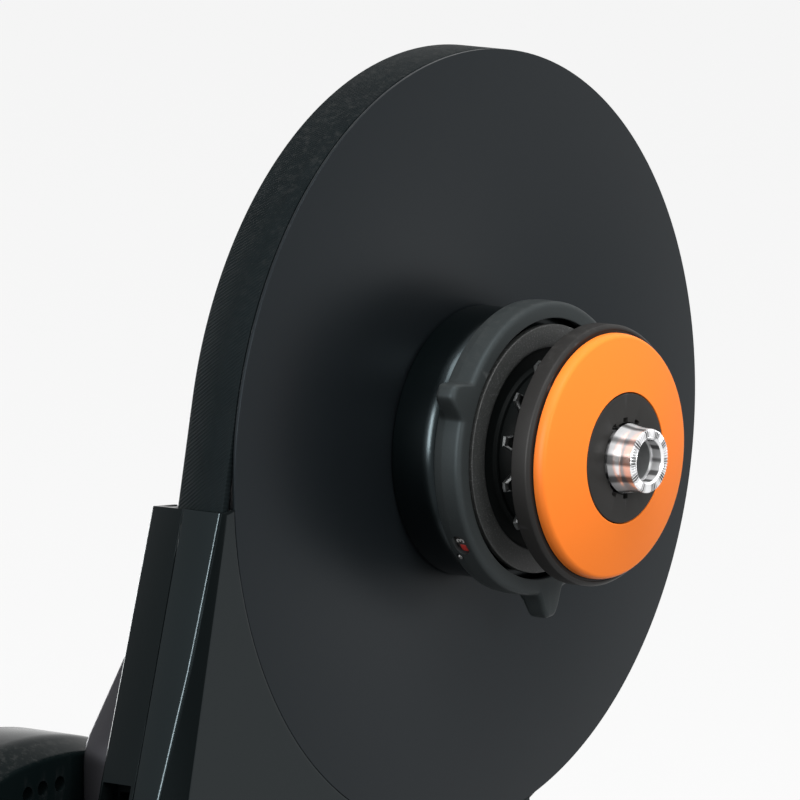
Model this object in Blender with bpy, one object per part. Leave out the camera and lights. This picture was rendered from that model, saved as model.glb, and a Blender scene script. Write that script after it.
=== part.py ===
"""Direct drive bike trainer: the bike's rear wheel is taken out and its frame stands on this hub.

Sizes are in millimetres and are turned into metres when a mesh is made. Shapes are drawn in the
hub frame: the origin is the hub axis in the middle between the dropouts, x points to the drive
side, y forward and z up. An outline is a list of (y, z) points, seen from the drive side.
"""

import math

import bmesh
import bpy
from mathutils import Matrix, Vector

MM = 0.001

# Clearance between pieces that touch or run in each other
GAP = 0.3
BELT_GAP = 0.45

# Stance
HUB_HEIGHT = 340.0
HUB_FORWARD = 30.0
DROPOUT_WIDTH = 142.0

# Belt drive
BELT_RIBS = 7
RIB_PITCH = 2.34
RIB_HEIGHT = 1.8
BELT_BACKING = 2.2
BELT_MIDDLE = -4.0
BELT_OUTER_RADIUS = 117.0
CORD_DEPTH = 1.2
DRIVE_RATIO = 8.0
CENTRE_DISTANCE = 240.0
CENTRE_ANGLE = 232.25
IDLER_RADIUS = 10.0
IDLER_PRESS = 3.0
IDLER_PLACE = 0.55
BOLT_HEAD_RADIUS = 6.5

# Face disc and hub cover
DISC_FACE = 5.6
DISC_THICKNESS = 1.0
DISC_CHAMFER = 0.6
HUB_COVER_RADIUS = 40.5
HUB_COVER_FRONT = 22.6
HUB_COVER_WALL = 2.0

# Axle and bearings: inner radius, outer radius
AXLE_BORE = 6.1
AXLE_RADIUS = 8.5
AXLE_NOSE_RADIUS = 7.5
AXLE_STEP = 14.5
AXLE_DRIVE_END = 60.0
HUB_BEARING_RADIUS = 15.0
HUB_BEARING_WIDTH = 7.0
FREEHUB_BEARING_RADIUS = 12.0
FREEHUB_BEARING_WIDTH = 5.0
FLYWHEEL_BEARING_RADIUS = 16.0
FLYWHEEL_BEARING_WIDTH = 10.0
FLYWHEEL_SHAFT_RADIUS = 6.0

# Pulley hub
PULLEY_HUB_RADIUS = 27.0
PULLEY_FLANGE_RADIUS = 36.0
PULLEY_RIM_DEPTH = 5.0
PULLEY_WEB = 3.6
PULLEY_RIBS = 8
HUB_SCREWS = 6
HUB_SCREW_RADIUS = 1.8
HUB_SCREW_HEAD = 2.4

# Ratchet
RATCHET_TEETH = 24
RATCHET_OUTER = 22.5
RATCHET_TIP = 18.2
RATCHET_ROOT = 19.6
RATCHET_FRONT = 23.2
RATCHET_WIDTH = 8.6
NOSE_RADIUS = 17.6
COLLAR_RADIUS = 18.0
PAWLS = 3
PAWL_PIVOT_RADIUS = 15.6
PAWL_TIP_RADIUS = 18.9
PAWL_REACH = 24.0

# Freehub and the single sprocket unit
FREEHUB_FRONT = 56.7
FREEHUB_BACK = 24.0
FREEHUB_SEAT = 50.0
FREEHUB_MOUTH = 14.3
SPLINES = 9
SPLINE_ROOT = 16.2
SPLINE_TIP = 17.2
CARRIER_RADIUS = 20.6
CARRIER_FLANGE_RADIUS = 40.7
CARRIER_FLANGE = (25.5, 27.5)
INDEX_RING_WALL = 1.3
INDEX_RING_BACK = 24.5
INDEX_RING_FRONT = 31.0
RING_BACK = 23.6
RING_FRONT = 33.1
RING_RADIUS = 44.0
RING_TAB_RADIUS = 51.6
RING_LIP_RADIUS = 39.0
RING_TABS = 3
RING_TAB_ANGLE = 154.8
RING_TAB_FLAT = 2.2
RING_TAB_REACH = 10.5
RING_TAB_SLOPE = 3.0
WINDOW_ANGLE = 214.0
WINDOW_X = 28.3
BALL_ANGLE = 221.5
BALL_X = 27.5
BALL_RADIUS = 1.5
GUIDE_TRAVEL = 3.0
INNER_GUIDE_RADIUS = 37.2
INNER_GUIDE_FRONT = 32.9
CHAIN_PITCH = 12.7
SPROCKET_TEETH = 14
SPROCKET_MIDDLE = 39.6
SPROCKET_THICKNESS = 2.0
ROLLER_RADIUS = 3.97
OUTER_GUIDE_RADIUS = 39.0
OUTER_GUIDE_BACK = 48.1
OUTER_GUIDE_FRONT = 54.5
FRONT_RING_RADIUS = 37.4
FRONT_RING_EDGE = 58.2
FRONT_RING_EDGE_RADIUS = 36.0
FRONT_RING_TOP = 62.0
FRONT_RING_BORE = 18.94
LOCKRING_RADIUS = 18.6
LOCKRING_BORE = 11.5
LOCKRING_NOTCHES = 12
END_CAP_NOSE_RADIUS = 9.5
END_CAP_NOSE = 4.9
END_CAP_CONE_RADIUS = 10.2
CONE_BACK = 62.6

# Flywheel and brake
FLYWHEEL_RADIUS = 115.5
FLYWHEEL_BEVEL = (10.5, 4.0)
FLYWHEEL_INNER_RADIUS = 90.0
FLYWHEEL_FACE = -37.4
FLYWHEEL_BACK = -71.4
FLYWHEEL_WEB = 6.0
FLYWHEEL_HUB_RADIUS = 20.0
BALANCE_RADIUS = 103.0
BALANCE_HOLE = 2.4
BALANCE_DEPTH = 9.0
BALANCE_ANGLES = (89.0, 93.5, 97.5)
BRAKE_POLES = 6
BRAKE_AIR_GAP = 1.5
BRAKE_THICKNESS = 16.0
POLE_WIDTH = 16.0
COIL_WALL = 4.0
POLE_SPREAD = 22.0

# Frame
FRAME_FRONT = -22.4
FRAME_BACK = -35.4
FRAME_POCKET = 4.0
AXLE_BOSS_RADIUS = 20.0
BEARING_BOSS_RADIUS = 24.0
FRAME_BOSS_BACK = -61.5
BOSS_FRONT = -14.2
HUB_FACE = -60.6
BRAKE_BACK = -58.4
SPINE_TOP = 56.0
SPINE_BOTTOM = 14.0
LEG_WIDTH = 38.0
LEG_HEIGHT = 30.0
LEG_WALL = 2.0
LEG_LENGTH = 560.0
LEG_BOTTOM = 15.0
FRONT_LEG = 201.0
REAR_LEG = -261.0
LEG_CAP = 12.5
FOOT_RADIUS = 17.0
FOOT_INSET = 18.0

# Belt cover and guard
COVER_SEAM = -8.4
COVER_GAP = 0.6
GUARD_BACK = -21.4
GUARD_WALL = 1.8
COVER_TOP = -6.0
COVER_KNEE = -95.0
COVER_REAR = 6.1
COVER_KNEE_OUT = 33.0
COVER_END = 14.5
COVER_FACE_REAR = 3.6
COVER_FACE_KNEE_OUT = 24.6
COVER_FACE_END = 8.3
COVER_EDGE_DEPTH = 0.9
COVER_CHAMFER_GROWTH = 0.03
GUARD_INNER_RADIUS = 96.0
COVER_SCREW_SEAT = -1.5
SCREW_HEAD_RADIUS = 3.4
SCREW_HEAD_HEIGHT = 2.4

# Electronics
CASE_DEPTH = 24.0
CASE_WALL = 2.0
LENS_RADIUS = 2.0
INLET_PLACE = (82.0, -214.0)

# Facets of a full circle
FINE_COUNT = 40
ROUND_COUNT = 28
SMALL_COUNT = 16
TINY_COUNT = 8

# Worked out from the sizes above
BELT_THICKNESS = BELT_BACKING + RIB_HEIGHT
BELT_WIDTH = BELT_RIBS * RIB_PITCH
BELT_BACK = BELT_MIDDLE - BELT_WIDTH / 2
BELT_FRONT = BELT_MIDDLE + BELT_WIDTH / 2
SMALL_PITCH_RADIUS = (BELT_OUTER_RADIUS - CORD_DEPTH) / DRIVE_RATIO
SMALL_OUTER_RADIUS = SMALL_PITCH_RADIUS + CORD_DEPTH
DISC_BACK = DISC_FACE - DISC_THICKNESS
HALF_DROPOUT = DROPOUT_WIDTH / 2
FLYWHEEL_Y = CENTRE_DISTANCE * math.cos(math.radians(CENTRE_ANGLE))
FLYWHEEL_Z = CENTRE_DISTANCE * math.sin(math.radians(CENTRE_ANGLE))
FLYWHEEL_CENTRE = (FLYWHEEL_Y, FLYWHEEL_Z)
HUB_PLACE = Vector((0.0, HUB_FORWARD, HUB_HEIGHT)) * MM
FLOOR = -HUB_HEIGHT
FOOT_PLACE = LEG_LENGTH / 2 - FOOT_INSET
LEG_MIDDLE = FLOOR + LEG_BOTTOM + LEG_HEIGHT / 2
HUB_SCREW_CIRCLE = (PULLEY_HUB_RADIUS + PULLEY_FLANGE_RADIUS) / 2
HUB_BACK = BELT_BACK - 0.5
INNER_BEARING_BACK = HUB_BACK + GAP
OUTER_BEARING_BACK = AXLE_STEP - GAP - HUB_BEARING_WIDTH


# Outlines

def polar(radius, degrees, centre=(0.0, 0.0)):
    """The point at a radius and an angle, counted from forward towards up."""
    angle = math.radians(degrees)
    return (centre[0] + radius * math.cos(angle), centre[1] + radius * math.sin(angle))


def circle(radius, count, centre=(0.0, 0.0)):
    """A round outline of count points."""
    return [polar(radius, 360.0 * index / count, centre) for index in range(count)]


def arc(radius, start, end, count, centre=(0.0, 0.0)):
    """Points along an arc, both ends included."""
    return [polar(radius, start + (end - start) * index / count, centre) for index in range(count + 1)]


def rounded(corners, step=24.0):
    """A closed outline through (y, z, radius) corners, each turned by an arc tangent to its sides."""
    points = []
    for index, (y, z, radius) in enumerate(corners):
        corner = Vector((y, z))
        if radius == 0:
            points.append((y, z))
            continue
        before = (Vector(corners[index - 1][:2]) - corner).normalized()
        after = (Vector(corners[(index + 1) % len(corners)][:2]) - corner).normalized()
        half = before.angle(after) / 2
        centre = corner + (before + after).normalized() * radius / math.sin(half)
        start = corner + before * radius / math.tan(half) - centre
        end = corner + after * radius / math.tan(half) - centre
        turn = math.atan2(start.x * end.y - start.y * end.x, start.dot(end))
        steps = max(1, math.ceil(abs(turn) / math.radians(step) - 0.01))
        for number in range(steps + 1):
            angle = turn * number / steps
            points.append(
                (
                    centre.x + start.x * math.cos(angle) - start.y * math.sin(angle),
                    centre.y + start.x * math.sin(angle) + start.y * math.cos(angle),
                )
            )
    return points


def wrap(circles, step=7.5):
    """Stations of a band that runs round circles of (centre, radius, side).

    Side is 1 for a circle inside the band and -1 for one that presses on its back. Each station
    is a point and the direction towards the inside of the band.
    """
    count = len(circles)
    headings = []
    for index, (centre, radius, side) in enumerate(circles):
        next_centre, next_radius, next_side = circles[(index + 1) % count]
        reach = Vector(next_centre) - Vector(centre)
        lean = (side * radius - next_side * next_radius) / reach.length
        headings.append(math.atan2(reach.y, reach.x) + math.asin(lean))
    stations = []
    for index, (centre, radius, side) in enumerate(circles):
        turn = (headings[index] - headings[index - 1]) * side % (2 * math.pi) * side
        steps = max(1, math.ceil(abs(turn) / math.radians(step if radius > 60 else 2.5 * step)))
        for number in range(steps + 1):
            heading = headings[index - 1] + turn * number / steps
            inward = Vector((-math.sin(heading), math.cos(heading)))
            stations.append((Vector(centre) - inward * side * radius, inward))
    return stations


def moved(outline, y, z):
    """The outline shifted by y and z."""
    return [(point[0] + y, point[1] + z) for point in outline]


# Meshes

def loft(bm, rings):
    """Walls between outlines of equal length, each given with its x or with a rule for its x."""
    rows = []
    for level, outline in rings:
        height = level if callable(level) else lambda y, z, fixed=level: fixed
        rows.append([bm.verts.new((height(y, z), y, z)) for y, z in outline])
    for low, high in zip(rows, rows[1:]):
        for index in range(len(low)):
            after = (index + 1) % len(low)
            bm.faces.new((low[index], low[after], high[after], high[index]))


def flat(bm, level, outlines):
    """A flat face at x = level inside the first outline, with the other outlines left open."""
    edges = []
    for outline in outlines:
        verts = [bm.verts.new((level, y, z)) for y, z in outline]
        for index, vert in enumerate(verts):
            edges.append(bm.edges.new((vert, verts[(index + 1) % len(verts)])))
    bmesh.ops.triangle_fill(bm, use_beauty=True, edges=edges, normal=(1.0, 0.0, 0.0))


def solid(outer, bores=(), front_steps=(), back_steps=()):
    """A body with an outer wall and bores, each a list of (x, outline) from back to front.

    A step is a pocket or a boss on one face: (outline, level of its own end, outlines left open
    in that end). An outline that a bore starts with is left open in the face or the step.
    """
    bm = bmesh.new()
    loft(bm, outer)
    for bore in bores:
        loft(bm, bore)
    for end, steps in ((-1, front_steps), (0, back_steps)):
        level, outline = outer[end]
        inside_steps = [hole for step in steps for hole in step[2]]
        holes = [bore[end][1] for bore in bores if bore[end][1] not in inside_steps]
        flat(bm, level, [outline] + [step[0] for step in steps] + holes)
        for step_outline, step_level, step_holes in steps:
            loft(bm, [(level, step_outline), (step_level, step_outline)])
            flat(bm, step_level, [step_outline] + list(step_holes))
    return bm


def prism(outline, back, front, holes=()):
    """A flat plate from back to front with holes right through."""
    return solid(
        [(back, outline), (front, outline)],
        [[(back, hole), (front, hole)] for hole in holes],
    )


def turned(profile, count, centre=(0.0, 0.0)):
    """A body of revolution about x from a closed profile of (x, radius) points."""
    bm = bmesh.new()
    rings = [(x, circle(radius, count, centre)) for x, radius in profile]
    loft(bm, rings + rings[:1])
    return bm


def rod(radius, back, front, count=SMALL_COUNT, centre=(0.0, 0.0)):
    """A plain round bar along x."""
    outline = circle(radius, count, centre)
    return prism(outline, back, front)


def faceted(bm):
    """Splits twisted walls into triangles, so that a Boolean reads them as they are drawn."""
    bmesh.ops.remove_doubles(bm, verts=bm.verts, dist=1e-4)
    bmesh.ops.triangulate(bm, faces=bm.faces)
    return bm


def join(*parts):
    """Several meshes as one, each staying a body of its own."""
    whole = bmesh.new()
    for part in parts:
        copy = bpy.data.meshes.new("part")
        part.to_mesh(copy)
        part.free()
        whole.from_mesh(copy)
        bpy.data.meshes.remove(copy)
    return whole


# Objects

def finish(name, colour, roughness, metallic=0.0):
    """A Principled material in the colour of the real piece."""
    material = bpy.data.materials.new(name)
    material.use_nodes = True
    shader = material.node_tree.nodes["Principled BSDF"]
    shader.inputs["Base Color"].default_value = (*colour, 1.0)
    shader.inputs["Roughness"].default_value = roughness
    shader.inputs["Metallic"].default_value = metallic
    return material


def place(name, bm, look, centre=(0.0, 0.0), turn=None):
    """Makes the named object, with its origin on the axis through centre."""
    shift = Vector((0.0, centre[0], centre[1]))
    if turn:
        bmesh.ops.transform(bm, matrix=turn, verts=bm.verts)
    bmesh.ops.translate(bm, vec=-shift, verts=bm.verts)
    bmesh.ops.scale(bm, vec=(MM, MM, MM), verts=bm.verts)
    bmesh.ops.remove_doubles(bm, verts=bm.verts, dist=0.5e-6)
    bmesh.ops.recalc_face_normals(bm, faces=bm.faces)
    mesh = bpy.data.meshes.new(name)
    bm.to_mesh(mesh)
    bm.free()
    mesh.shade_smooth()
    mesh.set_sharp_from_angle(angle=math.radians(35))
    obj = bpy.data.objects.new(name, mesh)
    obj.location = HUB_PLACE + shift * MM
    colour, roughness, metallic = look
    mesh.materials.append(finish(name, colour, roughness, metallic))
    bpy.context.scene.collection.objects.link(obj)
    return obj


def cut(obj, tool, operation="DIFFERENCE"):
    """Cuts one object by another, or joins it, with a Boolean modifier."""
    tool.hide_render = True
    tool.display_type = "WIRE"
    modifier = obj.modifiers.new(tool.name, "BOOLEAN")
    modifier.operation = operation
    modifier.solver = "EXACT"
    modifier.object = tool


BLACK = ((0.022, 0.023, 0.026), 0.45, 0.0)
GLOSS = ((0.012, 0.012, 0.013), 0.15, 0.0)
SOFT = ((0.035, 0.035, 0.037), 0.7, 0.0)
ORANGE = ((0.87, 0.2, 0.045), 0.5, 0.0)
CHROME = ((0.75, 0.76, 0.78), 0.15, 1.0)
STEEL = ((0.45, 0.45, 0.47), 0.35, 1.0)
CAST = ((0.3, 0.3, 0.31), 0.5, 1.0)
RUBBER = ((0.02, 0.02, 0.021), 0.85, 0.0)
COPPER = ((0.7, 0.3, 0.15), 0.35, 1.0)
BOARD = ((0.02, 0.15, 0.06), 0.5, 0.0)
LENS = ((0.7, 0.75, 0.8), 0.2, 0.0)
NUMBER_WHITE = ((0.8, 0.8, 0.78), 0.5, 0.0)


# Belt drive

def idler_centre():
    """The idler presses on the back of the belt's lower run."""
    runs = wrap([((0.0, 0.0), BELT_OUTER_RADIUS, 1), (FLYWHEEL_CENTRE, SMALL_OUTER_RADIUS, 1)])
    start, inward = runs[-1]
    stop = runs[0][0]
    middle = start.lerp(stop, IDLER_PLACE)
    return tuple(middle - inward * (IDLER_RADIUS + GAP - IDLER_PRESS))


def belt_circles():
    """What the belt's back line runs round."""
    return [
        ((0.0, 0.0), BELT_OUTER_RADIUS, 1),
        (FLYWHEEL_CENTRE, SMALL_OUTER_RADIUS, 1),
        (idler_centre(), IDLER_RADIUS + GAP, -1),
    ]


def rib_points():
    """(x, depth) points of the belt's ribbed side, from the drive side inwards."""
    points = [(BELT_FRONT, BELT_BACKING)]
    for rib in range(BELT_RIBS):
        edge = BELT_FRONT - rib * RIB_PITCH
        points.append((edge - RIB_PITCH / 2, BELT_THICKNESS))
        points.append((edge - RIB_PITCH, BELT_BACKING))
    return points


def make_belt():
    """The ribbed belt as one closed band."""
    section = [(BELT_BACK, 0.0), (BELT_FRONT, 0.0)] + rib_points()
    stations = wrap(belt_circles(), 9.0)
    bm = bmesh.new()
    rows = []
    for point, inward in stations:
        row = []
        for x, depth in section:
            spot = point + inward * depth
            row.append(bm.verts.new((x, spot.x, spot.y)))
        rows.append(row)
    for number, row in enumerate(rows):
        following = rows[(number + 1) % len(rows)]
        for index in range(len(section)):
            after = (index + 1) % len(section)
            bm.faces.new((row[index], row[after], following[after], following[index]))
    place("belt", bm, SOFT)


def groove_profile(outer_radius):
    """(x, radius) points of a grooved rim under a belt whose back is at outer_radius."""
    return [(x, outer_radius - BELT_GAP - depth) for x, depth in rib_points()]


def make_drive_pulley():
    """The big pulley: grooved rim, web and ribs behind it."""
    grooves = groove_profile(BELT_OUTER_RADIUS)
    rim_inside = BELT_OUTER_RADIUS - BELT_THICKNESS - PULLEY_RIM_DEPTH
    front = DISC_BACK - GAP
    web_back = front - PULLEY_WEB
    bore = PULLEY_HUB_RADIUS + GAP
    lip = 0.1
    profile = [(front, grooves[0][1])] + grooves + [(BELT_BACK - lip, grooves[-1][1])]
    profile += [(BELT_BACK - lip, rim_inside), (web_back, rim_inside - 3.0)]
    profile += [(web_back, bore), (front, bore)]
    pulley = place("drive_pulley", turned(profile, FINE_COUNT), CAST)
    ribs = []
    for index in range(PULLEY_RIBS):
        turn = Matrix.Rotation(2 * math.pi * (index + 0.5) / PULLEY_RIBS, 4, "X")
        rib = prism(
            [(PULLEY_FLANGE_RADIUS + 2.0, -2.0), (rim_inside + 2.0, -2.0), (rim_inside + 2.0, 2.0),
             (PULLEY_FLANGE_RADIUS + 2.0, 2.0)],
            BELT_BACK + 4.0,
            web_back + 1.0,
        )
        bmesh.ops.transform(rib, matrix=turn, verts=rib.verts)
        ribs.append(rib)
    cut(pulley, place("pulley_rib_tool", join(*ribs), CAST), "UNION")
    holes = [
        rod(
            HUB_SCREW_RADIUS + 2 * GAP, web_back - 1.0, front + 1.0, TINY_COUNT,
            polar(HUB_SCREW_CIRCLE, 360 / HUB_SCREWS * index),
        )
        for index in range(HUB_SCREWS)
    ]
    cut(pulley, place("pulley_screw_hole_tool", join(*holes), CAST))


def make_pulley_face():
    """The thin disc that closes the drive side of the big pulley."""
    rim = BELT_OUTER_RADIUS
    bore = HUB_COVER_RADIUS - 5.0
    profile = [
        (DISC_FACE, bore), (DISC_BACK, bore), (DISC_BACK, rim),
        (DISC_FACE - DISC_CHAMFER, rim), (DISC_FACE, rim - DISC_CHAMFER),
    ]
    place("pulley_face", turned(profile, FINE_COUNT), BLACK)


def make_hub_cover():
    """The glossy round cover in the middle of the disc."""
    back = DISC_FACE + GAP
    bend = 5.0
    inner_bend = bend - HUB_COVER_WALL
    bore = PULLEY_HUB_RADIUS + 2 * GAP
    front = HUB_COVER_FRONT
    profile = [(back, HUB_COVER_RADIUS)]
    for index in range(4):
        angle = math.radians(30 * index)
        profile.append(
            (front - bend + bend * math.sin(angle), HUB_COVER_RADIUS - bend + bend * math.cos(angle))
        )
    profile += [(front, bore), (front - HUB_COVER_WALL, bore)]
    for index in (2, 0):
        angle = math.radians(45 * index)
        profile.append(
            (
                front - bend + inner_bend * math.sin(angle),
                HUB_COVER_RADIUS - bend + inner_bend * math.cos(angle),
            )
        )
    profile.append((back, HUB_COVER_RADIUS - HUB_COVER_WALL))
    place("hub_cover", turned(profile, ROUND_COUNT), GLOSS)


def make_pulley_hub():
    """The turned hub that the pulley is screwed to: two bearing seats and the ratchet's seat."""
    seat = HUB_BEARING_RADIUS + GAP
    flange_front = DISC_BACK - GAP - PULLEY_WEB - GAP
    shoulder = seat - 3.3
    ratchet_back = RATCHET_FRONT - RATCHET_WIDTH - GAP
    profile = [
        (HUB_BACK, PULLEY_HUB_RADIUS), (flange_front - 4.0, PULLEY_HUB_RADIUS),
        (flange_front - 4.0, PULLEY_FLANGE_RADIUS), (flange_front, PULLEY_FLANGE_RADIUS),
        (flange_front, PULLEY_HUB_RADIUS), (RATCHET_FRONT + 0.2, PULLEY_HUB_RADIUS),
        (RATCHET_FRONT + 0.2, RATCHET_OUTER + GAP), (ratchet_back, RATCHET_OUTER + GAP),
        (ratchet_back, seat), (OUTER_BEARING_BACK - GAP, seat),
        (OUTER_BEARING_BACK - GAP, shoulder),
        (INNER_BEARING_BACK + HUB_BEARING_WIDTH + GAP, shoulder),
        (INNER_BEARING_BACK + HUB_BEARING_WIDTH + GAP, seat), (HUB_BACK, seat),
    ]
    hub = place("pulley_hub", turned(profile, 20), STEEL)
    screws = []
    for index in range(HUB_SCREWS):
        centre = polar(HUB_SCREW_CIRCLE, 360 / HUB_SCREWS * index)
        shank = circle(HUB_SCREW_RADIUS, 6, centre)
        head = circle(HUB_SCREW_RADIUS + 1.2, 6, centre)
        front = DISC_BACK - GAP
        screws.append(
            solid(
                [(flange_front - 2.0, shank), (front + GAP, shank), (front + GAP, head),
                 (front + GAP + HUB_SCREW_HEAD, head)]
            )
        )
    cut(hub, place("hub_screw_tool", join(*screws), STEEL), "UNION")


def bearing(name, inner, outer, back, width, centre=(0.0, 0.0)):
    """A sealed ball bearing with a shallow recess at its seals."""
    front = back + width
    profile = [(back, inner), (back, outer), (front, outer), (front, inner)]
    place(name, turned(profile, SMALL_COUNT, centre), STEEL, centre)


def make_small_pulley():
    """The small grooved pulley on the flywheel shaft, with a flange on each side."""
    grooves = groove_profile(SMALL_OUTER_RADIUS)
    bore = FLYWHEEL_SHAFT_RADIUS + GAP
    flange = grooves[0][1]
    profile = [(BELT_FRONT + 0.2, flange)] + grooves + [(BELT_BACK - 0.6, flange)]
    profile += [(BELT_BACK - 0.6, bore), (BELT_FRONT + 0.2, bore)]
    place("small_pulley", turned(profile, SMALL_COUNT, FLYWHEEL_CENTRE), STEEL, FLYWHEEL_CENTRE)


# Tensioner

def arm_pivot():
    """The tensioner arm's pivot, below the idler and towards the flywheel."""
    centre = Vector(idler_centre())
    return tuple(centre + Vector((-28.0, -22.0)))


def make_tensioner():
    """Idler, its pin, the arm that carries it and the bolt that the arm swings on."""
    idler = idler_centre()
    pivot = arm_pivot()
    arm_back = GUARD_BACK + GUARD_WALL + GAP
    arm_front = BELT_BACK - 1.6
    bore = 4.0
    arm_outline = [
        (point.x, point.y) for point, inward in wrap([(idler, 7.0, 1), (pivot, 8.5, 1)], 12.0)
    ]
    place(
        "tensioner_arm",
        prism(arm_outline, arm_back, arm_front,
              [circle(3.0 + GAP, TINY_COUNT, idler), circle(bore + GAP, SMALL_COUNT, pivot)]),
        CAST,
        pivot,
    )
    roller = [
        (BELT_BACK - 0.4, bore), (BELT_BACK - 0.4, IDLER_RADIUS - 0.6), (BELT_BACK + 1.5, IDLER_RADIUS),
        (BELT_FRONT - 1.5, IDLER_RADIUS), (BELT_FRONT, IDLER_RADIUS - 0.6), (BELT_FRONT, bore),
    ]
    place("idler_pulley", turned(roller, 16, idler), BLACK, idler)
    pin = [
        (arm_back + 0.2, circle(3.0, TINY_COUNT, idler)),
        (arm_front + 0.4, circle(3.0, TINY_COUNT, idler)),
        (arm_front + 0.4, circle(bore - GAP, TINY_COUNT, idler)),
        (BELT_FRONT - 2.0, circle(bore - GAP, TINY_COUNT, idler)),
    ]
    place("idler_pin", solid(pin), STEEL, idler)
    shoulder = arm_back - GAP / 2
    bolt = [
        (FRAME_FRONT - 8.0, circle(bore - 1.0, SMALL_COUNT, pivot)),
        (shoulder, circle(bore - 1.0, SMALL_COUNT, pivot)),
        (shoulder, circle(bore, SMALL_COUNT, pivot)),
        (arm_front + GAP, circle(bore, SMALL_COUNT, pivot)),
        (arm_front + GAP, circle(BOLT_HEAD_RADIUS, SMALL_COUNT, pivot)),
        (arm_front + 4.0, circle(BOLT_HEAD_RADIUS, SMALL_COUNT, pivot)),
    ]
    place("tensioner_bolt", solid(bolt), STEEL, pivot)


# Hub axle, ratchet and freehub

def make_axle():
    """The hollow axle, held in the frame and open for a thru-axle."""
    back = -(HALF_DROPOUT - 4.5)
    profile = [
        (back, AXLE_BORE + 0.05), (back, AXLE_RADIUS), (AXLE_STEP, AXLE_RADIUS),
        (AXLE_STEP, AXLE_NOSE_RADIUS), (AXLE_DRIVE_END, AXLE_NOSE_RADIUS),
        (AXLE_DRIVE_END, AXLE_BORE + 0.05),
    ]
    place("hub_axle", turned(profile, SMALL_COUNT), STEEL)
    for name, back in (("hub_bearing_inner", INNER_BEARING_BACK), ("hub_bearing_outer", OUTER_BEARING_BACK)):
        bearing(name, AXLE_RADIUS + GAP, HUB_BEARING_RADIUS, back, HUB_BEARING_WIDTH)


def make_end_caps():
    """The two caps that the bike's dropouts stand against."""
    tip = HALF_DROPOUT
    cone_front = tip - END_CAP_NOSE
    seat = AXLE_DRIVE_END + GAP
    back = FREEHUB_FRONT - 0.6
    chamfer = 0.45
    drive = [
        (back, AXLE_NOSE_RADIUS + GAP), (back, END_CAP_NOSE_RADIUS), (CONE_BACK, END_CAP_NOSE_RADIUS),
        (CONE_BACK, END_CAP_CONE_RADIUS), (cone_front, END_CAP_CONE_RADIUS - 0.3),
        (cone_front + 0.4, END_CAP_NOSE_RADIUS), (tip - chamfer, END_CAP_NOSE_RADIUS),
        (tip, END_CAP_NOSE_RADIUS - chamfer), (tip, AXLE_BORE + chamfer),
        (tip - chamfer, AXLE_BORE), (seat, AXLE_BORE), (seat, AXLE_NOSE_RADIUS + GAP),
    ]
    place("drive_end_cap", turned(drive, 20), CHROME)
    back_seat = -(HALF_DROPOUT - 4.5) - GAP
    inner = FRAME_BOSS_BACK - GAP
    other = [
        (inner, AXLE_RADIUS + GAP), (inner, 12.0), (-tip + 5.0, 12.0),
        (-tip + 5.0, END_CAP_NOSE_RADIUS), (-tip + chamfer, END_CAP_NOSE_RADIUS),
        (-tip, END_CAP_NOSE_RADIUS - chamfer), (-tip, AXLE_BORE + chamfer),
        (-tip + chamfer, AXLE_BORE), (back_seat, AXLE_BORE), (back_seat, AXLE_RADIUS + GAP),
    ]
    place("non_drive_end_cap", turned(other, SMALL_COUNT), CHROME)


def make_ratchet_ring():
    """The ring of saw teeth inside the pulley hub that the pawls push."""
    teeth = []
    for index in range(RATCHET_TEETH):
        angle = 360.0 * index / RATCHET_TEETH + 0.5
        teeth.append(polar(RATCHET_TIP, angle))
        teeth.append(polar(RATCHET_ROOT, angle + 0.8))
    back = RATCHET_FRONT - RATCHET_WIDTH
    place("ratchet_ring", prism(circle(RATCHET_OUTER, 24), back, RATCHET_FRONT, [teeth]), STEEL)


def nose_outline():
    """The freehub's inner end: round, with a pocket for each pawl."""
    points = []
    pocket = PAWL_PIVOT_RADIUS - 1.8
    for index in range(PAWLS):
        angle = 360.0 / PAWLS * index
        points += arc(NOSE_RADIUS, angle + 8.0, angle + 360.0 / PAWLS - PAWL_REACH - 10.0, 5)
        points += arc(pocket, angle + 360.0 / PAWLS - PAWL_REACH - 10.0, angle + 360.0 / PAWLS + 8.0, 3)
    return points


def splined(extra):
    """Outline of the freehub's splines, or of the bore that slides over them with some clearance."""
    points = []
    for index in range(SPLINES):
        angle = 360.0 * index / SPLINES
        points.append(polar(SPLINE_ROOT + extra, angle - 11.5))
        points.append(polar(SPLINE_TIP + extra, angle - 9.5))
        points.append(polar(SPLINE_TIP + extra, angle + 9.5))
        points.append(polar(SPLINE_ROOT + extra, angle + 11.5))
    return points


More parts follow.
